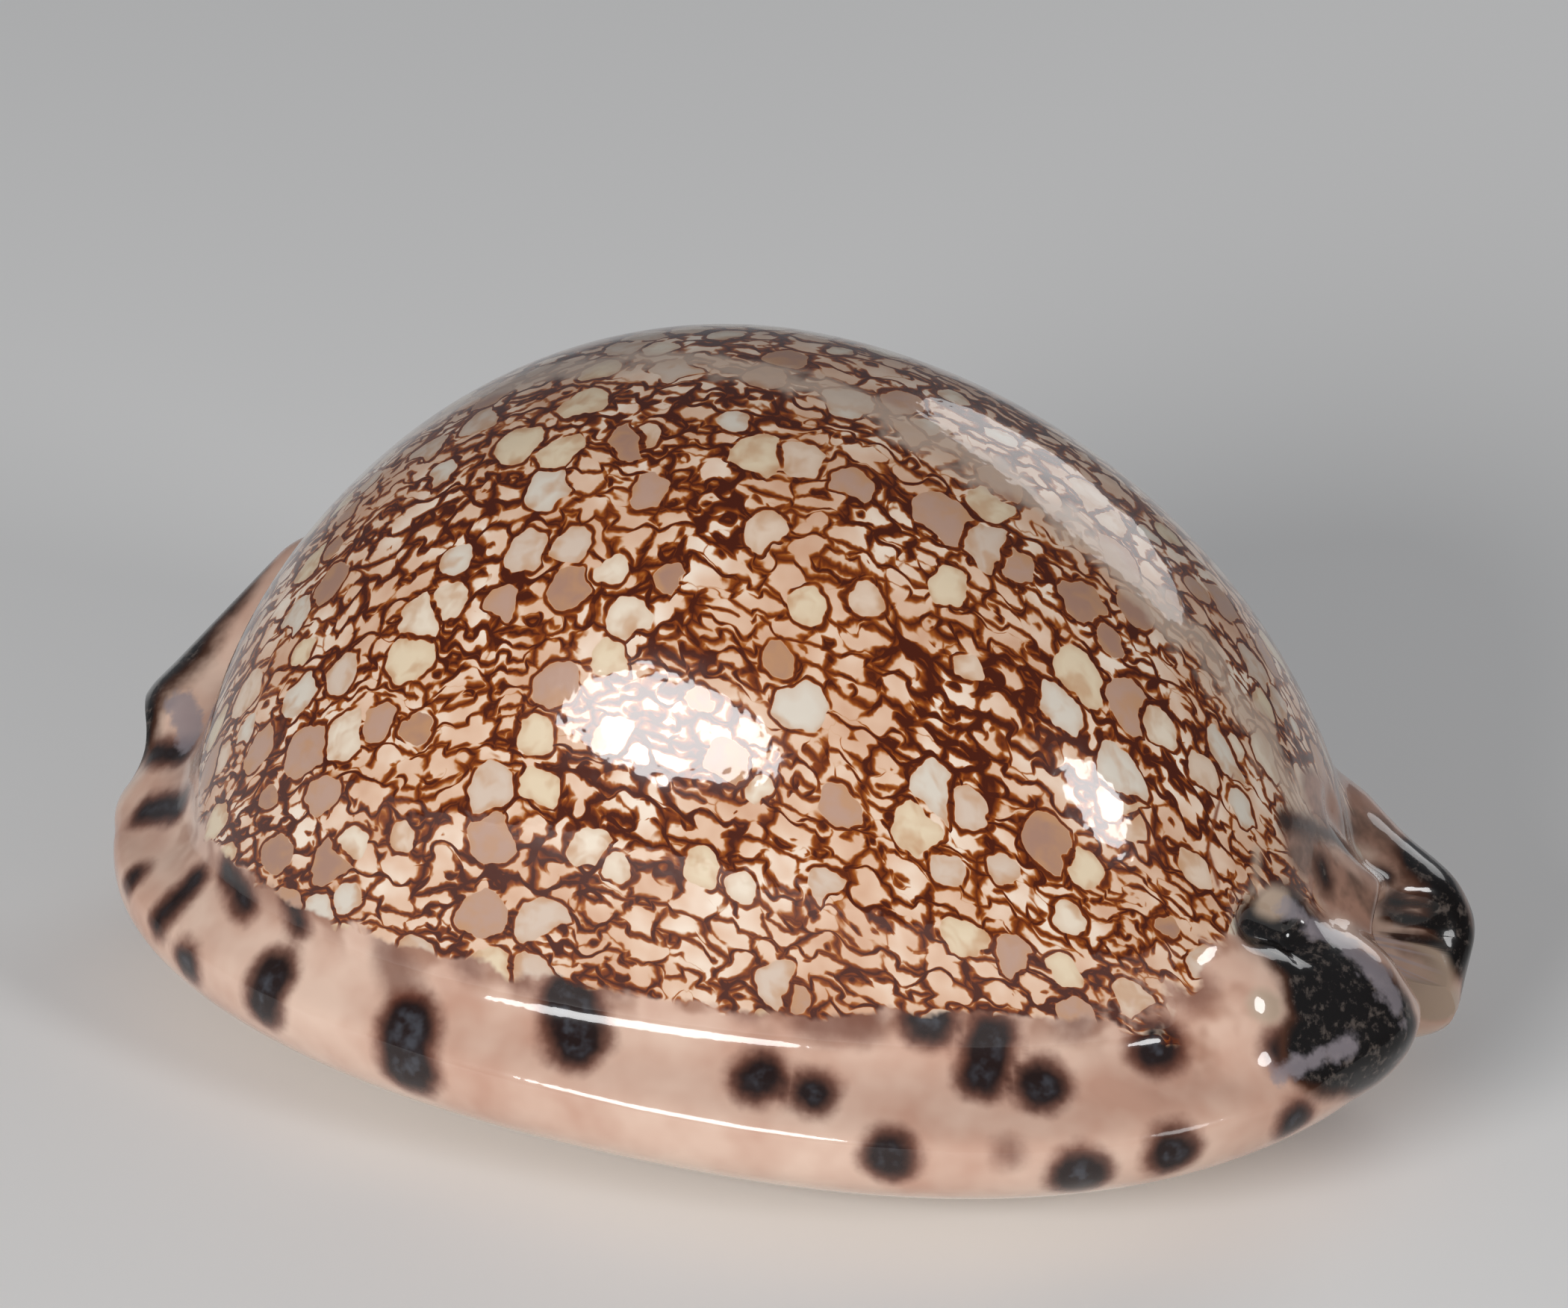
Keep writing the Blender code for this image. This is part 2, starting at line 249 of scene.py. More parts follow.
    def outside(self, place: Points) -> np.ndarray:
        """Works out the field of the whole outer surface.

        Args:
            place: Points' X, Y and Z in mm as drawn.

        Returns:
            The field, about mm outside and negative inside.
        """
        body = soft_union(self.margin(place), self.back(place), self.margin_blend)
        for lobe in self.lobes:
            body = soft_union(body, lobe.distance(place), self.lobe_blend)
        for cut in self.cuts:
            body = -soft_union(-body, cut.distance(place), self.cut_blend)
        return body

    def cavity(self, place: Points) -> np.ndarray:
        """Works out the field of the hollow inside, with a canal to each end.

        Args:
            place: Points' X, Y and Z in mm as drawn.

        Returns:
            The field, about mm outside the hollow and negative in it.
        """
        x, y, z = place
        middle_x, middle_y, middle_z = self.cavity_middle
        rise = np.where(z > middle_z, self.cavity_top - middle_z, middle_z - self.cavity_floor)
        power = self.cavity_fullness
        size = np.abs((x - middle_x) / self.cavity_reach) ** power
        size += np.abs((y - middle_y) / self.cavity_half_width) ** power
        size += np.abs((z - middle_z) / rise) ** power
        chamber = (size ** (1.0 / power) - 1.0) * self.cavity_half_width
        front, rear = [
            (float(bend), float(self.slit_middle(bend)), float(self.level(bend)))
            for bend in (-self.line_half, self.line_half)
        ]
        canal = Bar(front, rear, self.canal_radius, self.canal_radius).distance(place)
        for bend, mouth_x in ((front, -self.canal_mouth), (rear, self.canal_mouth)):
            mouth = (mouth_x, bend[1], bend[2])
            reach = Bar(bend, mouth, self.canal_radius, self.canal_radius)
            canal = np.minimum(canal, reach.distance(place))
        return soft_union(chamber, canal, self.canal_blend)

    def slit_middle(self, x: np.ndarray) -> np.ndarray:
        """Y of the slit's middle line, bowed toward the outer lip."""
        return self.slit_shift - self.slit_bow * (x - self.slit_peak) ** 2

    def level(self, x: np.ndarray) -> np.ndarray:
        """Z of the line inside the shell that its stations fan out from."""
        return self.line_level + self.line_slope * x

    def slit_half_width(self, x: np.ndarray) -> np.ndarray:
        """Half the slit's width at x, a little wider toward the front canal."""
        forward = np.clip(-x / self.slit_front_reach, 0.0, 1.0)
        return self.slit_half + self.slit_front_extra * np.sin(math.pi * forward) ** 2

    def tooth(self, x: np.ndarray, shift: float) -> np.ndarray:
        """Share of a tooth at x, 1 on a crest and 0 in a furrow or past the toothed stretch."""
        wave = 0.5 + 0.5 * np.cos(2.0 * math.pi * (x - shift * self.tooth_pitch) / self.tooth_pitch)
        return wave * np.clip((self.tooth_span - np.abs(x)) / self.tooth_fade, 0.0, 1.0)


@dataclass
class RayFan:
    """Rays that fan out from the line inside the shell, one cone of them for each station."""

    form: ShellForm
    cone: np.ndarray
    reach: float = 36.0
    stride: float = 0.5
    halvings: int = 16
    start_x: np.ndarray = field(init=False)
    start_y: np.ndarray = field(init=False)
    start_z: np.ndarray = field(init=False)

    def __post_init__(self) -> None:
        """Places the start of each station's rays."""
        self.cone = np.asarray(self.cone, float)[:, None]
        self.start_x = -np.cos(self.cone) * self.form.line_half
        self.start_y = self.form.slit_middle(self.start_x)
        self.start_z = self.form.level(self.start_x)

    def point(self, turn: np.ndarray, reach: np.ndarray) -> Points:
        """Finds the points at a reach along the rays whose angle around X is turn.

        Args:
            turn: Angles around X in radians.
            reach: Lengths along the rays in mm.

        Returns:
            The points' X, Y and Z.
        """
        x = self.start_x - np.cos(self.cone) * reach
        y = self.start_y + np.sin(self.cone) * np.cos(turn) * reach
        z = self.start_z + np.sin(self.cone) * np.sin(turn) * reach
        return x, y, z

    def cast(self, surface: Callable[[Points], np.ndarray], turn: np.ndarray) -> np.ndarray:
        """Finds where the rays first leave a form.

        Args:
            surface: The form's field, negative inside.
            turn: Angles around X in radians.

        Returns:
            Lengths along the rays in mm.
        """
        near = np.zeros(np.broadcast_shapes(self.cone.shape, np.shape(turn)))
        within = np.ones(near.shape, dtype=bool)
        for _ in range(round(self.reach / self.stride)):
            within &= surface(self.point(turn, near + self.stride)) < 0.0
            near = np.where(within, near + self.stride, near)
        far = near + self.stride
        for _ in range(self.halvings):
            middle = 0.5 * (near + far)
            inside = surface(self.point(turn, middle)) < 0.0
            near = np.where(inside, middle, near)
            far = np.where(inside, far, middle)
        return 0.5 * (near + far)


@dataclass
class ShellSkin:
    """Works out the skin of the shell as rings of points, outside and inside."""

    form: ShellForm = field(default_factory=ShellForm)
    stations: int = 224
    outer_points: int = 196
    lip_points: int = 12
    end_angle: float = math.radians(13.0)
    end_share: float = 0.09
    bend_weight: float = 9.0
    samples: int = 600
    tooth_reach: float = 5.0
    furrow_depth: float = 0.22

    def turns(self, gap: np.ndarray, share: np.ndarray) -> np.ndarray:
        """Angles around X at shares of the way from one side of the slit to the other."""
        return -0.5 * math.pi + gap + (2.0 * math.pi - 2.0 * gap) * share

    def shares(self, gap: float) -> np.ndarray:
        """Spreads the points of an outline, closer together where it bends.

        Args:
            gap: Half the slit's angle at the middle station.

        Returns:
            Shares of the way around the outline.
        """
        middle = RayFan(self.form, [0.5 * math.pi])
        share = np.linspace(0.0, 1.0, self.samples)
        turn = self.turns(gap, share[None, :])
        points = np.stack(middle.point(turn, middle.cast(self.form.outside, turn)), axis=-1)[0]
        step = np.diff(points, axis=0)
        length = np.linalg.norm(step, axis=1)
        unit = step / length[:, None]
        bend = np.arccos(np.clip((unit[1:] * unit[:-1]).sum(axis=1), -1.0, 1.0))
        weight = np.concatenate([[0.0, length[0]], length[1:] + self.bend_weight * bend])
        travelled = np.cumsum(weight)
        return np.interp(np.linspace(0.0, travelled[-1], self.outer_points), travelled, share)

    def cones(self) -> np.ndarray:
        """Spreads the stations evenly along the base, closer together at both ends.

        Returns:
            Each station's angle from -X in radians.
        """
        fine = np.linspace(self.end_angle, math.pi - self.end_angle, self.samples)
        rays = RayFan(self.form, fine)
        down = np.full((1, 1), -0.5 * math.pi)
        points = np.stack(rays.point(down, rays.cast(self.form.outside, down)), axis=-1)[:, 0]
        length = np.linalg.norm(np.diff(points, axis=0), axis=1)
        travelled = np.concatenate([[0.0], np.cumsum(length)])
        even = np.linspace(0.0, 1.0, self.stations)
        eased = even - self.end_share * np.sin(2.0 * math.pi * even) / math.pi
        return np.interp(eased * travelled[-1], travelled, fine)

    def rings(self) -> tuple[np.ndarray, np.ndarray]:
        """Works out every station's ring.

        Returns:
            The outer and inner halves, as stations x points x 3 arrays in mm, with as many points each.
        """
        form = self.form
        rays = RayFan(form, self.cones())
        spread = np.sin(rays.cone)
        down = np.full((1, 1), -0.5 * math.pi)
        base_reach = rays.cast(form.outside, down)
        base_x = rays.point(down, base_reach)[0]
        outer_depth = base_reach * spread
        deepest = outer_depth - form.rim_wall * spread
        inner_depth = np.minimum(rays.cast(form.cavity, down) * spread, deepest)
        lip = np.minimum(form.lip_radius, form.lip_wall_share * (outer_depth - inner_depth))
        half_width = np.minimum(form.slit_half_width(base_x), form.slit_widest_share * inner_depth)

        outer_gap = np.arcsin(np.clip((half_width + lip) / outer_depth, 0.0, form.widest_gap_sine))
        outer_turn = self.turns(outer_gap, self.shares(outer_gap.min()))
        outer = np.stack(rays.point(outer_turn, rays.cast(form.outside, outer_turn)), axis=-1)

        inner_count = self.outer_points + 2 * self.lip_points
        inner_gap = np.arcsin(np.clip(half_width / inner_depth, 0.0, form.widest_gap_sine))
        inner_turn = self.turns(inner_gap, np.linspace(1.0, 0.0, inner_count)[None, :])
        growth = form.wall_growth * (spread - math.sin(self.end_angle)) + form.rim_wall
        wall = np.clip(growth, 0.0, form.thinnest_wall)
        leaving = rays.cast(form.outside, inner_turn) - wall
        inner_reach = np.minimum(rays.cast(form.cavity, inner_turn), leaving)
        inner = np.stack(rays.point(inner_turn, inner_reach), axis=-1)

        outer_lip = self.lip_edge(rays, outer[:, 0], lip, 1.0, 0.0)
        inner_lip = self.lip_edge(rays, outer[:, -1], lip, -1.0, form.inner_lip_shift)
        self.furrow(rays, outer)
        outer_half = np.concatenate([outer_lip, outer, inner_lip[:, ::-1]], axis=1)
        return self.closed_ends(outer_half, inner)

    def lip_edge(
        self, rays: RayFan, base: np.ndarray, lip: np.ndarray, side: float, shift: float
    ) -> np.ndarray:
        """Rolls the edge of one lip, with a ridge for each tooth.

        Args:
            rays: The stations' rays.
            base: The first base point beside the lip at each station.
            lip: Radius of the roll at each station.
            side: 1 for the outer lip and -1 for the inner lip.
            shift: Shift of the teeth, as a share of their pitch.

        Returns:
            The lip's points, from the slit out to the base.
        """
        lateral = base[:, 1:2] - rays.start_y
        depth = base[:, 2:3] - rays.start_z
        roll = np.linspace(0.5 * math.pi, 0.0, self.lip_points + 1)[None, :-1]
        tooth = self.form.tooth(base[:, 0:1], shift) * np.minimum(1.0, lip / self.form.lip_radius)
        radius = lip + tooth * self.form.tooth_height
        across = lateral - side * radius * np.sin(roll)
        up = depth + lip - radius * np.cos(roll)
        x = rays.start_x - np.hypot(across, up) / np.tan(rays.cone)
        return np.stack([x, rays.start_y + across, rays.start_z + up], axis=-1)

    def furrow(self, rays: RayFan, outer: np.ndarray) -> None:
        """Cuts the furrows between the teeth a short way into the base, in place.

        Args:
            rays: The stations' rays.
            outer: The outer points of every station.
        """
        for side, shift, edge in ((1.0, 0.0, 0), (-1.0, self.form.inner_lip_shift, -1)):
            away = side * (outer[:, :, 1] - outer[:, edge, 1][:, None])
            near = 1.0 - soft_step(away, 0.0, self.tooth_reach)
            below = outer[:, :, 2] < rays.start_z
            depth = 1.0 - self.form.tooth(outer[:, :, 0], shift)
            toothed = np.abs(outer[:, :, 0]) < self.form.tooth_span
            cut = near * (away > -self.form.slit_half) * below * depth * toothed
            outer[:, :, 2] += self.furrow_depth * cut

    def closed_ends(self, outer: np.ndarray, inner: np.ndarray) -> tuple[np.ndarray, np.ndarray]:
        """Adds a last ring at each end in which the outer half meets the inner half.

        Args:
            outer: The outer half of every ring.
            inner: The inner half of every ring, in the turning order of the ring.

        Returns:
            Both halves with the two rings added.
        """
        first, last = [0.5 * (outer[end] + inner[end, ::-1]) for end in (0, -1)]
        outer = np.concatenate([first[None], outer, last[None]], axis=0)
        inner = np.concatenate([first[None, ::-1], inner, last[None, ::-1]], axis=0)
        return outer, inner


@dataclass(frozen=True)
class Blot:
    """A coloured mark on the shell, placed by its pixels in the photograph. Its radius is in mm."""

    across: float
    down: float
    radius: float
    to_across: float = -1.0
    to_down: float = -1.0

    def ends(self) -> list[tuple[float, float]]:
        """Pixels of the mark's two ends, which are one for a round mark."""
        first = (self.across, self.down)
        return [first, first if self.to_across < 0.0 else (self.to_across, self.to_down)]


# The dark spots of the near margin and the front end.
SPOTS = (
    Blot(368, 1302, 1.05, 352, 1345),
    Blot(546, 1372, 1.35, 548, 1432),
    Blot(774, 1392, 1.35, 763, 1340),
    Blot(1017, 1444, 1.15),
    Blot(1089, 1465, 0.95),
    Blot(1191, 1550, 1.1),
    Blot(1246, 1366, 1.15),
    Blot(1328, 1391, 1.05, 1316, 1440),
    Blot(1395, 1455, 1.15),
    Blot(1446, 1576, 1.35),
    Blot(1548, 1404, 1.1),
    Blot(1571, 1544, 1.15),
    Blot(1714, 1404, 0.7),
    Blot(1735, 1500, 0.9),
    Blot(250, 1290, 0.8),
    Blot(305, 1168, 0.6, 330, 1210),
    Blot(390, 1205, 0.5, 400, 1235),
    Blot(262, 1178, 0.6, 212, 1236),
    Blot(180, 1174, 0.6),
    Blot(195, 1085, 0.7, 240, 1078),
    Blot(205, 1010, 0.6, 245, 1010),
)

# Brown smudges between the spots and the net.
SMUDGES = (
    Blot(1096, 1359, 1.2, 1150, 1362),
    Blot(1440, 1366, 0.8),
    Blot(1600, 1327, 0.8),
    Blot(521, 1276, 0.8, 546, 1340),
    Blot(629, 1289, 0.7),
    Blot(699, 1308, 0.7),
    Blot(821, 1318, 0.7),
    Blot(999, 1340, 0.8),
    Blot(1351, 1544, 0.5),
)

# Near-black lobes of the spire end, and the dark lines around its shelf.
DARK_REAR = (
    Blot(1706, 1256, 2.3, 1790, 1320),
    Blot(1785, 1325, 2.7, 1850, 1385),
    Blot(1765, 1402, 1.9, 1850, 1418),
    Blot(1905, 1150, 1.3, 1958, 1270),
    Blot(1771, 1162, 0.30, 1776, 1178),
    Blot(1868, 1212, 0.5, 1880, 1245),
    Blot(1720, 1098, 0.15, 1790, 1122),
    Blot(1790, 1122, 0.2, 1856, 1172),
)

# The tan shelf above the dark lobe.
TAN_REAR = (
    Blot(1742, 1130, 1.3, 1840, 1225),
    Blot(1760, 1062, 1.2, 1850, 1110),
    Blot(1850, 1110, 0.9, 1900, 1180),
)

# Painted highlights on the dark lobes of the spire end and on the front blotch, partly also a grey veil in
# the enamel.
SHEEN = (
    Blot(1722, 1214, 0.55, 1790, 1256),
    Blot(1790, 1256, 0.8, 1850, 1306),
    Blot(1850, 1306, 0.7, 1868, 1340),
    Blot(1716, 1436, 0.5, 1812, 1396),
    Blot(1880, 1372, 0.25),
    Blot(240, 940, 0.8, 256, 990),
)

# Thin brown arcs beside the spire.
TRACES = (
    Blot(1655, 1036, 0.06, 1630, 1080),
    Blot(1630, 1080, 0.06, 1617, 1140),
    Blot(1617, 1140, 0.06, 1634, 1190),
    Blot(1648, 1190, 0.04, 1652, 1250),
    Blot(1660, 1186, 0.04, 1664, 1246),
)

# Where the net's lines grow thin.
FADED = (
    Blot(1668, 1075, 1.2, 1664, 1150),
    Blot(1640, 1290, 1.0, 1600, 1320),
)

# Pale walls of the rear canal, and painted highlights on the crevice and glossy bumps near the spire end.
PALE_REAR_AND_HIGHLIGHTS = (
    Blot(1905, 1290, 1.2, 1925, 1350),
    Blot(1690, 1345, 0.7, 1700, 1350),
    Blot(1684, 1142, 0.2, 1670, 1204),
    Blot(1700, 1208, 0.75, 1712, 1212),
)


@dataclass
class Camera:
    """The camera at the photograph's angle. Lengths are in mm, angles in degrees."""

    azimuth: float = 16.62
    elevation: float = 25.08
    roll: float = 2.17
    distance: float = 364.6
    target: Place = (-0.3, 2.3, 19.4)
    sensor: float = 36.0
    lens: float = 167.95
    clip: float = 10.0

    def axes(self) -> tuple[Vector, Vector, Vector]:
        """Works out how the view is turned.

        Returns:
            Its right, up and backward directions.
        """
        azimuth, elevation, roll = (math.radians(a) for a in (self.azimuth, self.elevation, self.roll))
        flat = math.cos(elevation)
        back = Vector((math.sin(azimuth) * flat, -math.cos(azimuth) * flat, math.sin(elevation)))
        right = Vector((math.cos(azimuth), math.sin(azimuth), 0.0))
        up = back.cross(right)
        turned = right * math.cos(roll) + up * math.sin(roll)
        return turned, back.cross(turned), back

    def place(self) -> Vector:
        """Place of the lens in metres."""
        return (Vector(self.target) + self.axes()[2] * self.distance) * MM

    def ray(self, across: float, down: float) -> Vector:
        """Direction from the lens through a pixel of the photograph.

        Args:
            across: Pixels from the left edge.
            down: Pixels from the top edge.

        Returns:
            A unit direction.
        """
        right, up, back = self.axes()
        scale = self.sensor / self.lens / PICTURE_WIDTH
        side = (across - 0.5 * PICTURE_WIDTH) * scale
        rise = (0.5 * PICTURE_HEIGHT - down) * scale
        return (right * side + up * rise - back).normalized()

    def build(self) -> bpy.types.Object:
        """Adds the camera and makes it the scene's own.

        Returns:
            The camera.
        """
        bpy.ops.object.camera_add()
        camera = bpy.context.object
        camera.name = "camera"
        camera.matrix_world = Matrix(self.axes()).transposed().to_4x4()
        camera.location = self.place()
        camera.data.sensor_width = self.sensor
        camera.data.lens = self.lens
        camera.data.clip_start = self.clip * MM
        bpy.context.scene.camera = camera
        return camera


class Mark(Enum):
    """Attributes on the shell's skin that its enamel reads, in mm unless they are shares."""

    RISE = "rise"
    SPOT = "spot"
    SMUDGE = "smudge"
    MANTLE = "mantle"
    BLOTCH = "blotch"
    SHELF = "shelf"
    # Pale canal walls, and painted highlights near the spire end.
    CANAL = "canal"
    BASE = "base"
    TOOTH = "tooth"
    INSIDE = "inside"
    LAY = "lay"
    FADE = "fade"
    # Painted highlights on the dark blotches, partly a grey veil in the enamel.
    SHEEN = "sheen"
    TRACE = "trace"


@dataclass
class Shell:
    """The whole shell: one closed skin that stands for the frame's solid."""

    skin: ShellSkin = field(default_factory=ShellSkin)
    camera: Camera = field(default_factory=Camera)
    mantle_y: tuple[float, ...] = (0.0, -0.6, -2.0, -3.0, -3.2, -2.8)
    mantle_x: tuple[float, ...] = (-30.0, -14.0, 1.0, 10.0, 18.0, 27.0)
    rear_outer_blotch: Bar = Bar((31.0, 9.6, 8.8), (33.6, 7.6, 6.6), 3.6, 3.4)
    front_blotch: Bar = Bar((-30.0, 8.0, 14.0), (-34.0, 1.0, 9.0), 2.6, 2.6)
    edge_x: tuple[float, ...] = (-28.0, -24.5, 6.0, 15.0, 20.5, 25.0)
    edge_rise: tuple[float, ...] = (2.8, 4.4, 4.6, 5.8, 5.0, 1.2)
    tooth_colour_edge: tuple[float, float] = (0.3, 0.85)
    tooth_solid: float = 1.0
    tooth_band: float = 4.6
    evening: float = 0.85
    far_places: tuple[Place, ...] = (
        (-25.0, 8.5, 1.1),
        (-20.5, 5.2, 1.2),
        (-16.0, 8.8, 1.3),
        (-11.0, 5.6, 1.1),
        (-7.5, 8.6, 1.0),
        (-3.0, 5.0, 1.3),
        (1.5, 8.2, 1.2),
        (5.5, 5.4, 1.0),
        (9.5, 8.9, 1.3),
        (14.0, 5.6, 1.2),
        (18.5, 8.4, 1.1),
        (23.5, 6.2, 1.3),
    )
    weld: float = 0.02
    smooth_angle: float = math.radians(55.0)
    drawn_scale: np.ndarray = field(init=False)
    drawn_shift: np.ndarray = field(init=False)
    frame_middle: np.ndarray = field(init=False)

    def build(self) -> bpy.types.Object:
        """Models the skin, marks it and dresses it.

        Returns:
            The finished shell.
        """
        outer, inner = self.skin.rings()
        self.fit_to_frame(outer, inner)
        shell = self.wrap(outer, inner)
        self.mark(shell)
        enamel = ShellEnamel(NodeBench.start("shell_enamel_glazed"))
        shell.data.materials.append(enamel.build())
        return shell

    def fit_to_frame(self, outer: np.ndarray, inner: np.ndarray) -> None:
        """Moves and scales the rings into the frame's box, in place, and flattens what they rest on.

        Args:
            outer: The outer halves of the rings in mm.
            inner: The inner halves of the rings in mm.
        """
        low_corner, high_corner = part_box(NODE_NAME)
        size = (np.array(high_corner) - np.array(low_corner)) / MM
        middle = 0.5 * (np.array(high_corner) + np.array(low_corner)) / MM
        low = outer.min(axis=(0, 1))
        high = outer.max(axis=(0, 1))
        bottom = low[2] + self.skin.form.flat_depth
        scale = size / np.array([high[0] - low[0], high[1] - low[1], high[2] - bottom])
        shift = np.array([0.5 * (low[0] + high[0]), 0.5 * (low[1] + high[1]), bottom])
        self.drawn_scale = scale
        self.drawn_shift = shift
        self.frame_middle = np.array([middle[0], middle[1], 0.0])
        for half in (outer, inner):
            half -= shift
            half *= scale
            half += self.frame_middle
        outer[:, :, 2] = np.maximum(outer[:, :, 2], 0.0)

    def wrap(self, outer: np.ndarray, inner: np.ndarray) -> bpy.types.Object:
        """Wraps a flat grid around the rings and welds its edges shut.

        Args:
            outer: The outer halves of the rings in mm.
            inner: The inner halves of the rings in mm.

        Returns:
            The closed shell.
        """
        rings = np.concatenate([outer, inner, outer[:, :1]], axis=1) * MM
        stations, points = rings.shape[:2]
        bpy.ops.object.select_all(action="DESELECT")
        bpy.ops.mesh.primitive_grid_add(x_subdivisions=stations - 1, y_subdivisions=points - 1, size=1.0)
        shell = bpy.context.object
        shell.name = "cowrie_body"
        flat = np.zeros(len(shell.data.vertices) * 3)
        shell.data.vertices.foreach_get("co", flat)
        flat = flat.reshape(-1, 3)
        station = np.rint((flat[:, 0] + 0.5) * (stations - 1)).astype(int)
        point = np.rint((flat[:, 1] + 0.5) * (points - 1)).astype(int)
        shell.data.vertices.foreach_set("co", rings[station, point].ravel())
        inside = (point >= outer.shape[1]) & (point < points - 1)
        hollow = shell.data.attributes.new(Mark.INSIDE.value, "FLOAT", "POINT")
        hollow.data.foreach_set("value", inside.astype(np.float32))
        unrolled = self.unrolled(rings / MM, outer.shape[1] - 1)[station, point]
        lay = shell.data.attributes.new(Mark.LAY.value, "FLOAT_VECTOR", "POINT")
        lay.data.foreach_set("vector", unrolled.astype(np.float32).ravel())
        bpy.ops.object.mode_set(mode="EDIT")
        bpy.ops.mesh.select_all(action="SELECT")
        bpy.ops.mesh.remove_doubles(threshold=self.weld * MM)
        bpy.ops.mesh.normals_make_consistent(inside=False)
        bpy.ops.object.mode_set(mode="OBJECT")
        bpy.ops.object.shade_smooth_by_angle(angle=self.smooth_angle)
        return shell

    def unrolled(self, rings: np.ndarray, edge: int) -> np.ndarray:
        """Unrolls the skin, so that a flat pattern follows it at its true size.

        Args:
            rings: Every ring's points in mm.
            edge: Number of the last outer point.

        Returns:
            For each point, its lengths of skin from the middle station and from the crest of the back.
        """
        middle = rings.shape[0] // 2
        crest = self.skin.lip_points + self.skin.outer_points // 2
        along = np.linalg.norm(np.diff(rings, axis=0), axis=2).cumsum(axis=0)
        along = np.concatenate([np.zeros((1, rings.shape[1])), along], axis=0)
        around = np.linalg.norm(np.diff(rings, axis=1), axis=2).cumsum(axis=1)
        around = np.concatenate([np.zeros((rings.shape[0], 1)), around], axis=1)
        below = around - around[:, crest : crest + 1]
        evened = below * around[middle, edge] / around[:, edge : edge + 1]
        lay = np.stack([along - along[middle], below + self.evening * (evened - below)], axis=-1)
        return np.concatenate([lay, np.zeros(lay.shape[:2] + (1,))], axis=-1)

    def mark(self, shell: bpy.types.Object) -> None:
        """Writes the attributes that place the markings.

        Args:
            shell: The closed shell.
        """
        count = len(shell.data.vertices)
        placed = np.zeros(count * 3)
        shell.data.vertices.foreach_get("co", placed)
        placed = placed.reshape(-1, 3) / MM
        drawn = tuple(((placed - self.frame_middle) / self.drawn_scale + self.drawn_shift).T)
        x, y, z = drawn
        tree = BVHTree.FromObject(shell, bpy.context.evaluated_depsgraph_get())
        values = {
            Mark.RISE: self.rise(drawn),
            Mark.SPOT: np.maximum(self.nearest(placed, tree, SPOTS), self.far_spots(placed, tree)),
            Mark.SMUDGE: self.nearest(placed, tree, SMUDGES),
            Mark.MANTLE: y - np.interp(x, self.mantle_x, self.mantle_y),
            Mark.BLOTCH: np.maximum.reduce(
                [
                    self.nearest(placed, tree, DARK_REAR),
                    -self.rear_outer_blotch.distance(drawn),
                    -self.front_blotch.distance(drawn),
                ]
            ),
            Mark.SHELF: self.nearest(placed, tree, TAN_REAR),
            Mark.CANAL: self.nearest(placed, tree, PALE_REAR_AND_HIGHLIGHTS),
            Mark.FADE: self.nearest(placed, tree, FADED),
            Mark.SHEEN: self.nearest(placed, tree, SHEEN),
            Mark.TRACE: self.nearest(placed, tree, TRACES),
            Mark.BASE: self.skin.form.margin_level - z,
            Mark.TOOTH: self.teeth(drawn),
        }
        for mark, value in values.items():
            attribute = shell.data.attributes.new(mark.value, "FLOAT", "POINT")
            attribute.data.foreach_set("value", value.astype(np.float32))

    def rise(self, place: Points) -> np.ndarray:
        """Works out how far above the lower edge of the back's pattern points lie.

        Args:
            place: Points' X, Y and Z in mm as drawn.

        Returns:
            Heights in about mm.
        """
        form = self.skin.form
        swell = [form.margin(place)] + [lobe.distance(place) for lobe in form.lobes]
        edge = np.interp(place[0], self.edge_x, self.edge_rise)
        return np.minimum.reduce(swell) - form.back(place) - edge

    def teeth(self, place: Points) -> np.ndarray:
        """Works out how much tooth colour points have.

        Args:
            place: Points' X, Y and Z in mm as drawn.

        Returns:
            Shares, 1 on a tooth's ridge beside the slit.
        """
        x, y, z = place
        form = self.skin.form
        away = y - form.slit_middle(x)
        crest = np.where(away > 0.0, form.tooth(x, 0.0), form.tooth(x, form.inner_lip_shift))
        crest = soft_step(crest, *self.tooth_colour_edge)
        beyond = np.abs(away) - form.slit_half_width(x)
        near = 1.0 - soft_step(beyond, self.tooth_solid, self.tooth_band)
        return crest * near * (z < form.margin_level)

    def far_spots(self, placed: np.ndarray, tree: BVHTree) -> np.ndarray:
        """Measures how deep points lie inside the spots on the far margin, which the photograph hides.

        Args:
            placed: The points in mm, in the frame.
            tree: The shell's skin.

        Returns:
            Depths in mm, negative outside the spots.
        """
        depth = np.full(len(placed), NOWHERE)
        for x, z, radius in self.far_places:
            start = Vector((x, 2.0 * self.skin.form.width, z)) * MM
            hit = tree.ray_cast(start, Vector((0.0, -1.0, 0.0)))[0]
            depth = np.maximum(depth, self.depth_in(placed, hit, hit, radius))
        return depth

    def depth_in(self, placed: np.ndarray, first: Vector, last: Vector, radius: float) -> np.ndarray:
        """Measures how deep points lie inside one mark.

        Args:
            placed: The points in mm, in the frame.
            first: Place of the mark's first end in metres.
            last: Place of its other end, the same for a round mark.
            radius: The mark's radius in mm.

        Returns:
            Depths in mm, negative outside the mark.
        """
        start, end = [np.array(place) / MM for place in (first, last)]
        end[0] += ROUND_RUN
        return -Bar(tuple(start), tuple(end), radius, radius).distance(tuple(placed.T))

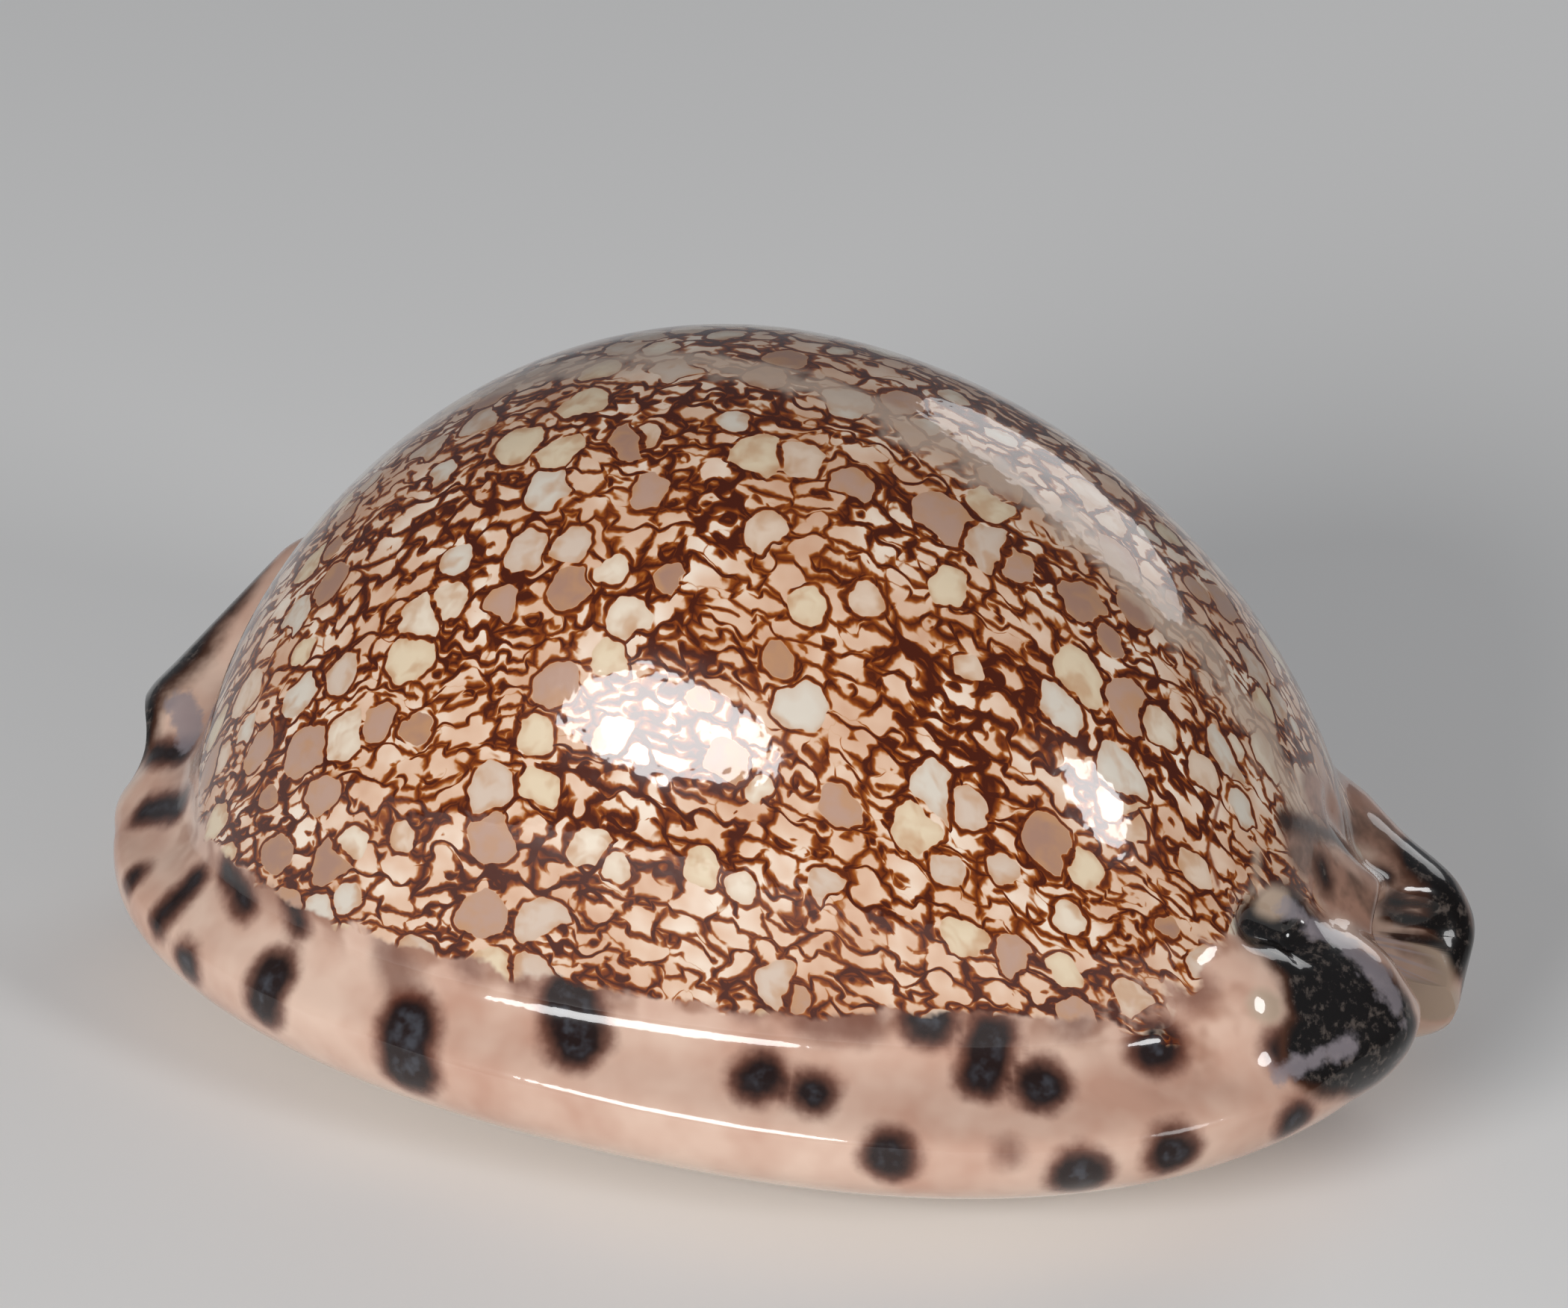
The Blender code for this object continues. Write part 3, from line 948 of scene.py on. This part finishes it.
    def nearest(self, placed: np.ndarray, tree: BVHTree, blots: tuple[Blot, ...]) -> np.ndarray:
        """Measures how deep points lie inside the nearest mark.

        Args:
            placed: The points in mm, in the frame.
            tree: The shell's skin, for finding where a pixel falls.
            blots: The marks.

        Returns:
            Depths in mm, negative outside the marks.
        """
        depth = np.full(len(placed), NOWHERE)
        lens = self.camera.place()
        for blot in blots:
            ends = []
            for across, down in blot.ends():
                hit = tree.ray_cast(lens, self.camera.ray(across, down))[0]
                if hit is None:
                    raise ValueError(f"the mark at {across}, {down} misses the shell")
                ends.append(hit)
            depth = np.maximum(depth, self.depth_in(placed, *ends, blot.radius))
        return depth


def srgb(text: str) -> Shade:
    """Turns an sRGB hex colour to linear.

    Args:
        text: Six hex digits after a hash sign.

    Returns:
        Red, green, blue and alpha.
    """
    channels = [int(text[i : i + 2], 16) / 255.0 for i in (1, 3, 5)]
    linear = [c / 12.92 if c <= 0.04045 else ((c + 0.055) / 1.055) ** 2.4 for c in channels]
    return (linear[0], linear[1], linear[2], 1.0)


@dataclass
class NodeBench:
    """Adds nodes to one material and links them."""

    material: bpy.types.Material

    @classmethod
    def start(cls, name: str) -> "NodeBench":
        """Makes a new material and its bench.

        Args:
            name: The material's name.

        Returns:
            The bench.
        """
        material = bpy.data.materials.new(name)
        material.use_nodes = True
        return cls(material)

    def add(
        self, kind: str, *values: object, out: int | str | None = None, stops: tuple = (), **settings: object
    ) -> Socket:
        """Adds a node with its settings and links.

        Args:
            kind: The node's type name without its ShaderNode start.
            values: Values or output sockets for the node's open inputs, in their order.
            out: Name or number of the output that is wanted, if not the first open one.
            stops: Pairs of a position and a colour, for a colour ramp.
            settings: The node's own properties.

        Returns:
            The output socket.
        """
        tree = self.material.node_tree
        node = tree.nodes.new("ShaderNode" + kind)
        for name, value in settings.items():
            setattr(node, name, value)
        sockets = [socket for socket in node.inputs if socket.enabled]
        for socket, value in zip(sockets, values):
            if isinstance(value, Socket):
                tree.links.new(value, socket)
            else:
                socket.default_value = value
        if stops:
            row = node.color_ramp.elements
            while len(row) < len(stops):
                row.new(0.5)
            for element, (position, shade) in zip(row, stops):
                element.position = position
                element.color = srgb(shade)
        if out is None:
            return next(socket for socket in node.outputs if socket.enabled)
        return node.outputs[out]


@dataclass(frozen=True)
class ShellEnamel:
    """Cowrie enamel: aragonite laid down by the living mantle, as glossy as glazed china.

    The glaze is clear, so the net pattern seems to lie under glass, and highlights are sharp.
    Sizes are in mm. A line of the real net is 0.3 to 0.4 mm wide, its cells are 1 to 2 mm across
    and its round gaps, the lacunae, 1 to 2.5 mm. Clouds of colour in the enamel are 2 to 9 mm across.
    """

    bench: NodeBench
    ground: str = "#dab89e"
    ground_pink: str = "#cba083"
    ground_pale: str = "#ebdac8"
    line_fringe: str = "#c48e52"
    line_amber: str = "#a35b1b"
    line: str = "#7c3606"
    line_deep: str = "#471601"
    lacunae: tuple[str, ...] = ("#dfd0bc", "#cdb9a8", "#dac7aa", "#a17c6a", "#d8c1ac", "#b3917f", "#d2c8ba")
    lacuna_shade: str = "#b98a62"
    margin: str = "#c29884"
    margin_pale: str = "#dcbeab"
    stain: str = "#8a5a42"
    halo: str = "#5e2c1c"
    spot_dark: str = "#181213"
    # Grey of the painted sheen in the dark spots, partly a grey veil in the enamel.
    spot_sheen: str = "#565a62"
    blotch: str = "#100c0b"
    blotch_edge: str = "#4a2a1a"
    blotch_speck: str = "#7d7068"
    shelf: str = "#a07865"
    shelf_brown: str = "#6e5142"
    # Pale canal wall, also the colour of the painted highlights near the spire end.
    canal: str = "#b39c88"
    # Grey of the painted highlights on the dark blotches, partly a grey veil in the enamel.
    sheen: str = "#8f868b"
    base: str = "#dcc6b2"
    tooth: str = "#7c3f24"
    inside: str = "#b9a8a8"
    mantle: str = "#c9b29f"
    roughness: float = 0.2
    specular: float = 0.12
    coat: float = 0.85
    coat_roughness: float = 0.035
    crease_drop: float = 4.6
    crease_reach: tuple[float, float] = (0.3, 1.7)
    crease_gloss: float = 0.25
    bends: tuple[tuple[float, float, float], ...] = ((6.0, 0.6, 1.0), (0.9, 0.14, 2.0))
    cell_size: float = 1.45
    cell_stretch: float = 0.68
    cell_disorder: float = 0.75
    row_pitch: float = 1.6
    line_width: float = 0.36
    line_edge: tuple[float, float] = (0.12, -0.15)
    dot_pitch: float = 1.3
    step_size: float = 1.3
    step_up: float = 0.26
    step_aside: float = 0.12
    step_steepness: float = 12.0
    crowd_size: float = 9.0
    break_size: float = 2.0
    tint_size: float = 5.0
    lacuna_pitch: float = 3.0
    lacuna_bend: tuple[float, float, float] = (1.6, 0.25, 2.0)
    lacuna_break_size: float = 1.7
    lacuna_cloud_size: float = 1.4
    mantle_wander: tuple[float, float] = (2.5, 3.6)
    edge_wander: tuple[float, float] = (2.2, 3.4)
    spot_wander: tuple[float, float] = (1.3, 0.8)
    end_wander: tuple[float, float] = (1.8, 0.9)
    sheen_wander: tuple[float, float] = (0.9, 1.6)
    margin_cloud_size: float = 6.0
    stain_size: float = 2.4
    fleck_size: float = 0.8
    shelf_cloud_size: float = 2.2
    speck_size: float = 0.6
    ripple_size: float = 1.6
    ripple_height: float = 0.1
    ripple_strength: float = 0.35

    def build(self) -> bpy.types.Material:
        """Builds the enamel's material.

        Returns:
            The material.
        """
        add = self.bench.add
        material = self.bench.material
        shader = material.node_tree.nodes["Principled BSDF"]
        place = add("VectorMath", add("TexCoord", out="Object"), 1.0 / MM, operation="SCALE")
        lay = add("Attribute", attribute_name=Mark.LAY.value, out="Vector")
        back = self.mantle_line(lay, self.net(lay))
        wander = self.wander(lay, *self.edge_wander, dimensions="2D")
        colour = self.laid(self.margins(place), Mark.RISE, wander, (-0.4, 0.4, 1.0), back)
        ripple = self.ripple(place)
        linked = {
            "Base Color": self.ends(place, colour),
            "Coat Weight": self.gloss(),
            "Normal": ripple,
            "Coat Normal": ripple,
        }
        for name, socket in linked.items():
            material.node_tree.links.new(socket, shader.inputs[name])
        shader.inputs["Roughness"].default_value = self.roughness
        shader.inputs["Specular IOR Level"].default_value = self.specular
        shader.inputs["Coat Roughness"].default_value = self.coat_roughness
        return material

    def pushed(self, place: Socket, size: float, reach: float, detail: float) -> Socket:
        """Pushes places about by noise.

        Args:
            place: Place in mm.
            size: Size of the noise's clouds in mm.
            reach: Largest push in mm.
            detail: Octaves of finer noise.

        Returns:
            The pushed place.
        """
        cloud = self.bench.add("TexNoise", place, 1.0 / size, detail, 0.5, out="Color", noise_dimensions="2D")
        push = self.bench.add("VectorMath", cloud, (0.5, 0.5, 0.5), operation="SUBTRACT")
        push = self.bench.add("VectorMath", push, 4.0 * reach, operation="SCALE")
        return self.bench.add("VectorMath", place, push, operation="ADD")

    def wander(
        self, place: Socket, size: float, reach: float, roughness: float = 0.55, dimensions: str = "3D"
    ) -> Socket:
        """Makes a length that wanders, for an edge that isn't even.

        Args:
            place: Place in mm.
            size: Size of the noise's clouds in mm.
            reach: From the least to the greatest length in mm.
            roughness: Share of finer noise.
            dimensions: Kind of noise, 2D on the unrolled skin.

        Returns:
            The length, around 0.
        """
        cloud = self.bench.add("TexNoise", place, 1.0 / size, 3.0, roughness, noise_dimensions=dimensions)
        return self.bench.add("Math", cloud, reach, -0.5 * reach, operation="MULTIPLY_ADD")

    def laid(
        self,
        colour: Socket,
        mark: Mark,
        wander: Socket | float,
        reach: tuple[float, float, float],
        over: Socket | Shade,
    ) -> Socket:
        """Lays a colour over another where a mark is deep enough.

        Args:
            colour: The colour below.
            mark: The mark.
            wander: Length in mm to add to the mark's depth.
            reach: Depths where the cover starts and is full, in mm, and its full share.
            over: The colour on top.

        Returns:
            The mixed colour.
        """
        start, full, most = reach
        depth = self.bench.add("Attribute", attribute_name=mark.value, out="Fac")
        depth = self.bench.add("Math", depth, wander, operation="ADD")
        share = self.bench.add("MapRange", depth, start, full, 0.0, most, interpolation_type="SMOOTHSTEP")
        return self.bench.add("Mix", share, colour, over, data_type="RGBA")

    def net(self, lay: Socket) -> Socket:
        """Colours the back: ground, net of jagged lines, dots and round lacunae.

        Args:
            lay: Place on the unrolled skin in mm.

        Returns:
            The back's colour.
        """
        add = self.bench.add
        bent = lay
        for bend in self.bends:
            bent = self.pushed(bent, *bend)
        bent, steep = self.stepped(lay, bent)
        crowd = add("TexNoise", lay, 1.0 / self.crowd_size, 3.0, 0.55, noise_dimensions="2D")
        crowd = add("MapRange", crowd, 0.36, 0.64, 0.65, 1.25, clamp=True)
        breaks = add("TexNoise", lay, 1.0 / self.break_size, 2.0, 0.5, noise_dimensions="2D")

        # The net's cells, longer along the shell, with weak lines where they break off.
        long = add("VectorMath", bent, (self.cell_stretch, 1.0, 1.0), operation="MULTIPLY")
        flat = {"feature": "DISTANCE_TO_EDGE", "voronoi_dimensions": "2D"}
        gap = add("TexVoronoi", long, 1.0 / self.cell_size, **flat)
        gap.node.inputs["Randomness"].default_value = self.cell_disorder
        gap = add("Math", gap, self.cell_size, operation="MULTIPLY")
        weak = add("MapRange", breaks, 0.50, 0.38, 0.0, 0.2, clamp=True)
        gap = add("Math", gap, weak, operation="ADD")

        # Long lines that run along the shell.
        level = add("SeparateXYZ", bent, out="Y")
        level = add("Math", level, 1.0 / self.row_pitch, operation="MULTIPLY")
        row = add("Math", level, 0.5, operation="PINGPONG")
        row = add("Math", row, self.row_pitch, operation="MULTIPLY")
        thin = add("MapRange", breaks, 0.56, 0.66, 0.0, 0.25, clamp=True)
        row = add("Math", row, thin, operation="ADD")
        line = add("Math", gap, row, operation="MINIMUM")

        # Dots and short dashes.
        dots = add("TexVoronoi", bent, 1.0 / self.dot_pitch, feature="F1", voronoi_dimensions="2D")
        pick = add("SeparateColor", dots.node.outputs["Color"])
        away = add("Math", dots, self.dot_pitch, operation="MULTIPLY")
        size = add("MapRange", pick, 0.72, 1.0, -0.4, 0.18, clamp=True)
        away = add("Math", away, size, operation="SUBTRACT")
        line = add("Math", line, away, operation="MINIMUM")

        width = add("Math", crowd, 0.5 * self.line_width, operation="MULTIPLY")
        width = add("Math", width, steep, operation="MULTIPLY")
        fade = add("Attribute", attribute_name=Mark.FADE.value, out="Fac")
        fade = add("MapRange", fade, -0.4, 0.2, 0.0, 0.14, clamp=True)
        width = add("Math", width, fade, operation="SUBTRACT")
        past = add("Math", line, width, operation="SUBTRACT")
        strength = add("MapRange", past, *self.line_edge, 0.0, 1.0, clamp=True)
        inside, rim, shade = self.lacuna(lay)
        outside = add("Math", 1.0, inside, operation="SUBTRACT")
        strength = add("Math", strength, rim, operation="MAXIMUM")
        strength = add("Math", strength, outside, operation="MULTIPLY")

        tint = add("TexNoise", lay, 1.0 / self.tint_size, 3.0, 0.6, noise_dimensions="2D")
        grounds = ((0.3, self.ground_pink), (0.5, self.ground), (0.72, self.ground_pale))
        ground = add("Mix", inside, add("ValToRGB", tint, stops=grounds), shade, data_type="RGBA")
        tones = (self.line_fringe, self.line_amber, self.line, self.line_deep)
        ink = add("ValToRGB", strength, stops=tuple(zip((0.0, 0.35, 0.6, 1.0), tones)))
        cover = add("MapRange", strength, 0.0, 0.42, 0.0, 1.0, interpolation_type="SMOOTHSTEP")
        return add("Mix", cover, ground, ink, data_type="RGBA")

    def stepped(self, lay: Socket, bent: Socket) -> tuple[Socket, Socket]:
        """Jogs places up and sideways in steps, so that lines run like battlements.

        Args:
            lay: Place on the unrolled skin in mm.
            bent: The place to jog.

        Returns:
            The jogged place, and how much wider a line is drawn where a step would thin it.
        """
        add = self.bench.add
        cloud = add("TexNoise", lay, 1.0 / self.step_size, 0.0, out="Color", noise_dimensions="2D")
        cloud = add("VectorMath", cloud, (0.5, 0.5, 0.5), operation="SUBTRACT")
        sharp = add("VectorMath", cloud, self.step_steepness, operation="SCALE")
        sharp = add("VectorMath", sharp, (-1.0, -1.0, -1.0), operation="MAXIMUM")
        sharp = add("VectorMath", sharp, (1.0, 1.0, 1.0), operation="MINIMUM")
        jog = add("VectorMath", sharp, (self.step_aside, self.step_up, 0.0), operation="MULTIPLY")
        slope = add("VectorMath", sharp, operation="ABSOLUTE")
        slope = add("SeparateXYZ", slope, out="Y")
        steep = add("MapRange", slope, 0.6, 1.0, 1.6, 1.0, clamp=True)
        return add("VectorMath", bent, jog, operation="ADD"), steep

    def lacuna(self, lay: Socket) -> tuple[Socket, Socket, Socket]:
        """Adds round gaps in the net.

        Args:
            lay: Place on the unrolled skin in mm.

        Returns:
            Share inside a lacuna, strength of its brown rim, and its own colour.
        """
        add = self.bench.add
        bent = self.pushed(lay, *self.lacuna_bend)
        scale = 1.0 / self.lacuna_pitch
        near = add("TexVoronoi", bent, scale, feature="F1", voronoi_dimensions="2D")
        edge = add("TexVoronoi", bent, scale, feature="DISTANCE_TO_EDGE", voronoi_dimensions="2D")
        pick = add("SeparateColor", near.node.outputs["Color"])
        radius = add("MapRange", pick, 0.0, 1.0, 0.22, 0.52)
        depth = add("Math", radius, near, operation="SUBTRACT")
        wall = add("Math", edge, 0.05, operation="SUBTRACT")
        depth = add("Math", depth, wall, operation="MINIMUM")
        depth = add("Math", depth, self.lacuna_pitch, operation="MULTIPLY")
        chosen = add("Math", pick.node.outputs["Green"], 0.3, operation="GREATER_THAN")
        inside = add("MapRange", depth, -0.03, 0.05, 0.0, 1.0, interpolation_type="SMOOTHSTEP")
        inside = add("Math", inside, chosen, operation="MULTIPLY")
        ring = add("Math", depth, 0.13, operation="ADD")
        ring = add("Math", ring, operation="ABSOLUTE")
        breaks = add("TexNoise", lay, 1.0 / self.lacuna_break_size, 1.0, 0.5, noise_dimensions="2D")
        rim = add("MapRange", ring, 0.20, 0.04, 0.0, 0.9, clamp=True)
        rim = add("Math", rim, chosen, operation="MULTIPLY")
        broken = add("MapRange", breaks, 0.34, 0.46, 0.0, 1.0, clamp=True)
        rim = add("Math", rim, broken, operation="MULTIPLY")
        count = len(self.lacunae)
        stops = tuple((index / count, shade) for index, shade in enumerate(self.lacunae))
        shade = add("ValToRGB", pick.node.outputs["Blue"], stops=stops)
        shade.node.color_ramp.interpolation = "CONSTANT"
        cloud = add("TexNoise", bent, 1.0 / self.lacuna_cloud_size, 2.0, 0.5, noise_dimensions="2D")
        cloud = add("MapRange", cloud, 0.42, 0.75, 0.0, 0.6, interpolation_type="SMOOTHSTEP")
        shallow = add("MapRange", depth, 0.0, 0.5, 0.3, 0.0, clamp=True)
        cloud = add("Math", cloud, shallow, operation="ADD")
        return inside, rim, add("Mix", cloud, shade, srgb(self.lacuna_shade), data_type="RGBA")

    def mantle_line(self, lay: Socket, colour: Socket) -> Socket:
        """Lays the pale line where the two mantle flaps met over the pattern.

        Args:
            lay: Place on the unrolled skin in mm.
            colour: The pattern's colour.

        Returns:
            The colour with the line.
        """
        add = self.bench.add
        across = add("Attribute", attribute_name=Mark.MANTLE.value, out="Fac")
        wander = self.wander(lay, *self.mantle_wander, dimensions="2D")
        across = add("Math", across, wander, operation="ADD")
        across = add("Math", across, operation="ABSOLUTE")
        share = add("MapRange", across, 1.8, 0.4, 0.0, 0.72, interpolation_type="SMOOTHSTEP")
        return add("Mix", share, colour, srgb(self.mantle), data_type="RGBA")

    def margins(self, place: Socket) -> Socket:
        """Colours the margin and the base, with their dark spots, a painted sheen in the spots that is partly
        a grey veil, and brown smudges.

        Args:
            place: Place in mm.

        Returns:
            The colour.
        """
        add = self.bench.add
        cloud = add("TexNoise", place, 1.0 / self.margin_cloud_size, 3.0, 0.55)
        colour = add("ValToRGB", cloud, stops=((0.36, self.margin), (0.64, self.margin_pale)))
        colour = self.laid(colour, Mark.BASE, 0.0, (1.5, 5.0, 1.0), srgb(self.base))
        stain = add("TexNoise", place, 1.0 / self.stain_size, 2.0, 0.5)
        stain = add("MapRange", stain, 0.42, 0.62, 0.1, 0.75, interpolation_type="SMOOTHSTEP")
        stained = add("Mix", stain, colour, srgb(self.stain), data_type="RGBA")
        colour = self.laid(colour, Mark.RISE, 0.0, (-4.0, -0.2, 1.0), stained)
        wander = self.wander(place, *self.spot_wander)
        for mark, reach, shade in (
            (Mark.SMUDGE, (-0.9, 0.5, 0.7), self.halo),
            (Mark.SPOT, (-0.95, 0.0, 0.85), self.halo),
            (Mark.SPOT, (-0.45, 0.45, 0.95), self.spot_dark),
        ):
            colour = self.laid(colour, mark, wander, reach, srgb(shade))
        # Grey flecks in the spots' middles: painted sheen, partly a grey veil in the enamel.
        sheen_fleck = add("TexNoise", place, 1.0 / self.fleck_size, 2.0, 0.5)
        sheen_fleck = add("MapRange", sheen_fleck, 0.4, 0.7, 0.0, 0.5, interpolation_type="SMOOTHSTEP")
        sheen_flecked = add("Mix", sheen_fleck, colour, srgb(self.spot_sheen), data_type="RGBA")
        colour = self.laid(colour, Mark.SPOT, wander, (0.2, 0.9, 1.0), sheen_flecked)
        share = add("Attribute", attribute_name=Mark.TOOTH.value, out="Fac")
        return add("Mix", share, colour, srgb(self.tooth), data_type="RGBA")

    def ends(self, place: Socket, colour: Socket) -> Socket:
        """Colours both ends: tan shelf, pale canal and painted highlights near the spire end, near-black
        blotches with a painted sheen that is partly a grey veil, and the hollow inside.

        Args:
            place: Place in mm.
            colour: The colour of the back and the margins.

        Returns:
            The colour of the whole shell.
        """
        add = self.bench.add
        wander = self.wander(place, *self.end_wander)
        cloud = add("TexNoise", place, 1.0 / self.shelf_cloud_size, 3.0, 0.6)
        tan = add("ValToRGB", cloud, stops=((0.38, self.shelf_brown), (0.6, self.shelf)))
        specks = add("TexNoise", place, 1.0 / self.speck_size, 4.0, 0.65)
        specks = add("MapRange", specks, 0.5, 0.68, 0.0, 0.42, interpolation_type="SMOOTHSTEP")
        dark = add("Mix", specks, srgb(self.blotch), srgb(self.blotch_speck), data_type="RGBA")
        # Wobbles the edge of the painted sheen on the dark blotches.
        sheen_and_veil_wobble = self.wander(place, *self.sheen_wander, roughness=0.6)
        for mark, shift, reach, over in (
            (Mark.SHELF, wander, (-0.6, 0.4, 1.0), tan),
            (Mark.BLOTCH, wander, (-0.9, 0.0, 1.0), srgb(self.blotch_edge)),
            (Mark.BLOTCH, wander, (-0.3, 0.4, 1.0), dark),
            # Pale canal wall and painted highlights near the spire end.
            (Mark.CANAL, 0.0, (-0.4, 0.3, 1.0), srgb(self.canal)),
            # Painted highlights on the dark blotches, partly a grey veil.
            (Mark.SHEEN, sheen_and_veil_wobble, (-0.25, 0.35, 0.75), srgb(self.sheen)),
            (Mark.TRACE, 0.0, (-0.14, 0.0, 0.85), srgb(self.line)),
        ):
            colour = self.laid(colour, mark, shift, reach, over)
        share = add("Attribute", attribute_name=Mark.INSIDE.value, out="Fac")
        return add("Mix", share, colour, srgb(self.inside), data_type="RGBA")

    def gloss(self) -> Socket:
        """Dulls the clear glaze in the crease above the margin, where fine dust gathers.

        Returns:
            The weight of the clear coat.
        """
        rise = self.bench.add("Attribute", attribute_name=Mark.RISE.value, out="Fac")
        away = self.bench.add("Math", rise, self.crease_drop, operation="ADD")
        away = self.bench.add("Math", away, operation="ABSOLUTE")
        coats = (self.crease_gloss * self.coat, self.coat)
        return self.bench.add("MapRange", away, *self.crease_reach, *coats, interpolation_type="SMOOTHSTEP")

    def ripple(self, place: Socket) -> Socket:
        """Ripples the glaze very slightly, as laid enamel is never quite even."""
        swell = self.bench.add("TexNoise", place, 1.0 / self.ripple_size, 2.0, 0.5)
        return self.bench.add("Bump", self.ripple_strength, self.ripple_height * MM, 1.0, swell)


@dataclass(frozen=True)
class Softbox:
    """A soft lamp, aimed at the shell so that its reflection falls where the photograph shows it."""

    name: str
    across: float
    down: float
    width: float
    height: float
    power: float
    distance: float = 0.55

    def build(self, camera: Camera, tree: BVHTree) -> None:
        """Adds the lamp.

        Args:
            camera: The camera that sees the reflection.
            tree: The shell's skin.
        """
        view = camera.ray(self.across, self.down)
        hit, normal = tree.ray_cast(camera.place(), view)[:2]
        mirrored = view - 2.0 * view.dot(normal) * normal
        bpy.ops.object.light_add(type="AREA")
        lamp = bpy.context.object
        lamp.name = self.name
        lamp.data.shape = "ELLIPSE"
        lamp.data.size = self.width
        lamp.data.size_y = self.height
        lamp.data.energy = self.power
        lamp.location = hit + mirrored.normalized() * self.distance
        lamp.rotation_euler = (-mirrored).to_track_quat("-Z", "Y").to_euler()


@dataclass
class Studio:
    """Pale floor, soft light and the camera."""

    camera: Camera
    floor_size: float = 3.0
    floor_colour: str = "#f7f6f4"
    floor_roughness: float = 0.8
    sky_colour: str = "#dfe3ea"
    sky_strength: float = 0.22
    lamps: tuple[Softbox, ...] = (
        Softbox("key_softbox", 880, 955, 0.30, 0.20, 2.3),
        Softbox("side_softbox", 1470, 1070, 0.13, 0.16, 0.8),
        Softbox("rear_softbox", 1805, 1262, 0.34, 0.20, 0.4),
    )

    def build(self, shell: bpy.types.Object) -> None:
        """Builds the studio around the shell.

        Args:
            shell: The finished shell.
        """
        self.floor()
        self.sky()
        tree = BVHTree.FromObject(shell, bpy.context.evaluated_depsgraph_get())
        for lamp in self.lamps:
            lamp.build(self.camera, tree)
        self.camera.build()
        bpy.context.scene.view_settings.view_transform = "Standard"

    def floor(self) -> None:
        """Lays the floor, of matt paper, which mirrors nothing and so stays even."""
        bpy.ops.object.select_all(action="DESELECT")
        bpy.ops.mesh.primitive_plane_add(size=self.floor_size)
        floor = bpy.context.object
        floor.name = "studio_floor"
        material = NodeBench.start("pale_paper").material
        shader = material.node_tree.nodes["Principled BSDF"]
        shader.inputs["Base Color"].default_value = srgb(self.floor_colour)
        shader.inputs["Roughness"].default_value = self.floor_roughness
        floor.data.materials.append(material)

    def sky(self) -> None:
        """Fills the room with even light."""
        world = bpy.data.worlds.new("studio_room")
        world.use_nodes = True
        background = world.node_tree.nodes["Background"]
        background.inputs["Color"].default_value = srgb(self.sky_colour)
        background.inputs["Strength"].default_value = self.sky_strength
        bpy.context.scene.world = world


def main() -> None:
    """Loads the frame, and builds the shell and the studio."""
    logging.basicConfig(level=logging.INFO, format="%(name)s: %(message)s")
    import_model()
    camera = Camera()
    shell = Shell(camera=camera).build()
    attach(shell, "root")
    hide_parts(NODE_NAME)
    LOG.info("%s: %d faces", shell.name, len(shell.data.polygons))
    Studio(camera).build(shell)
    LOG.info("studio: floor, lamps and camera")


if __name__ == "__main__":
    main()
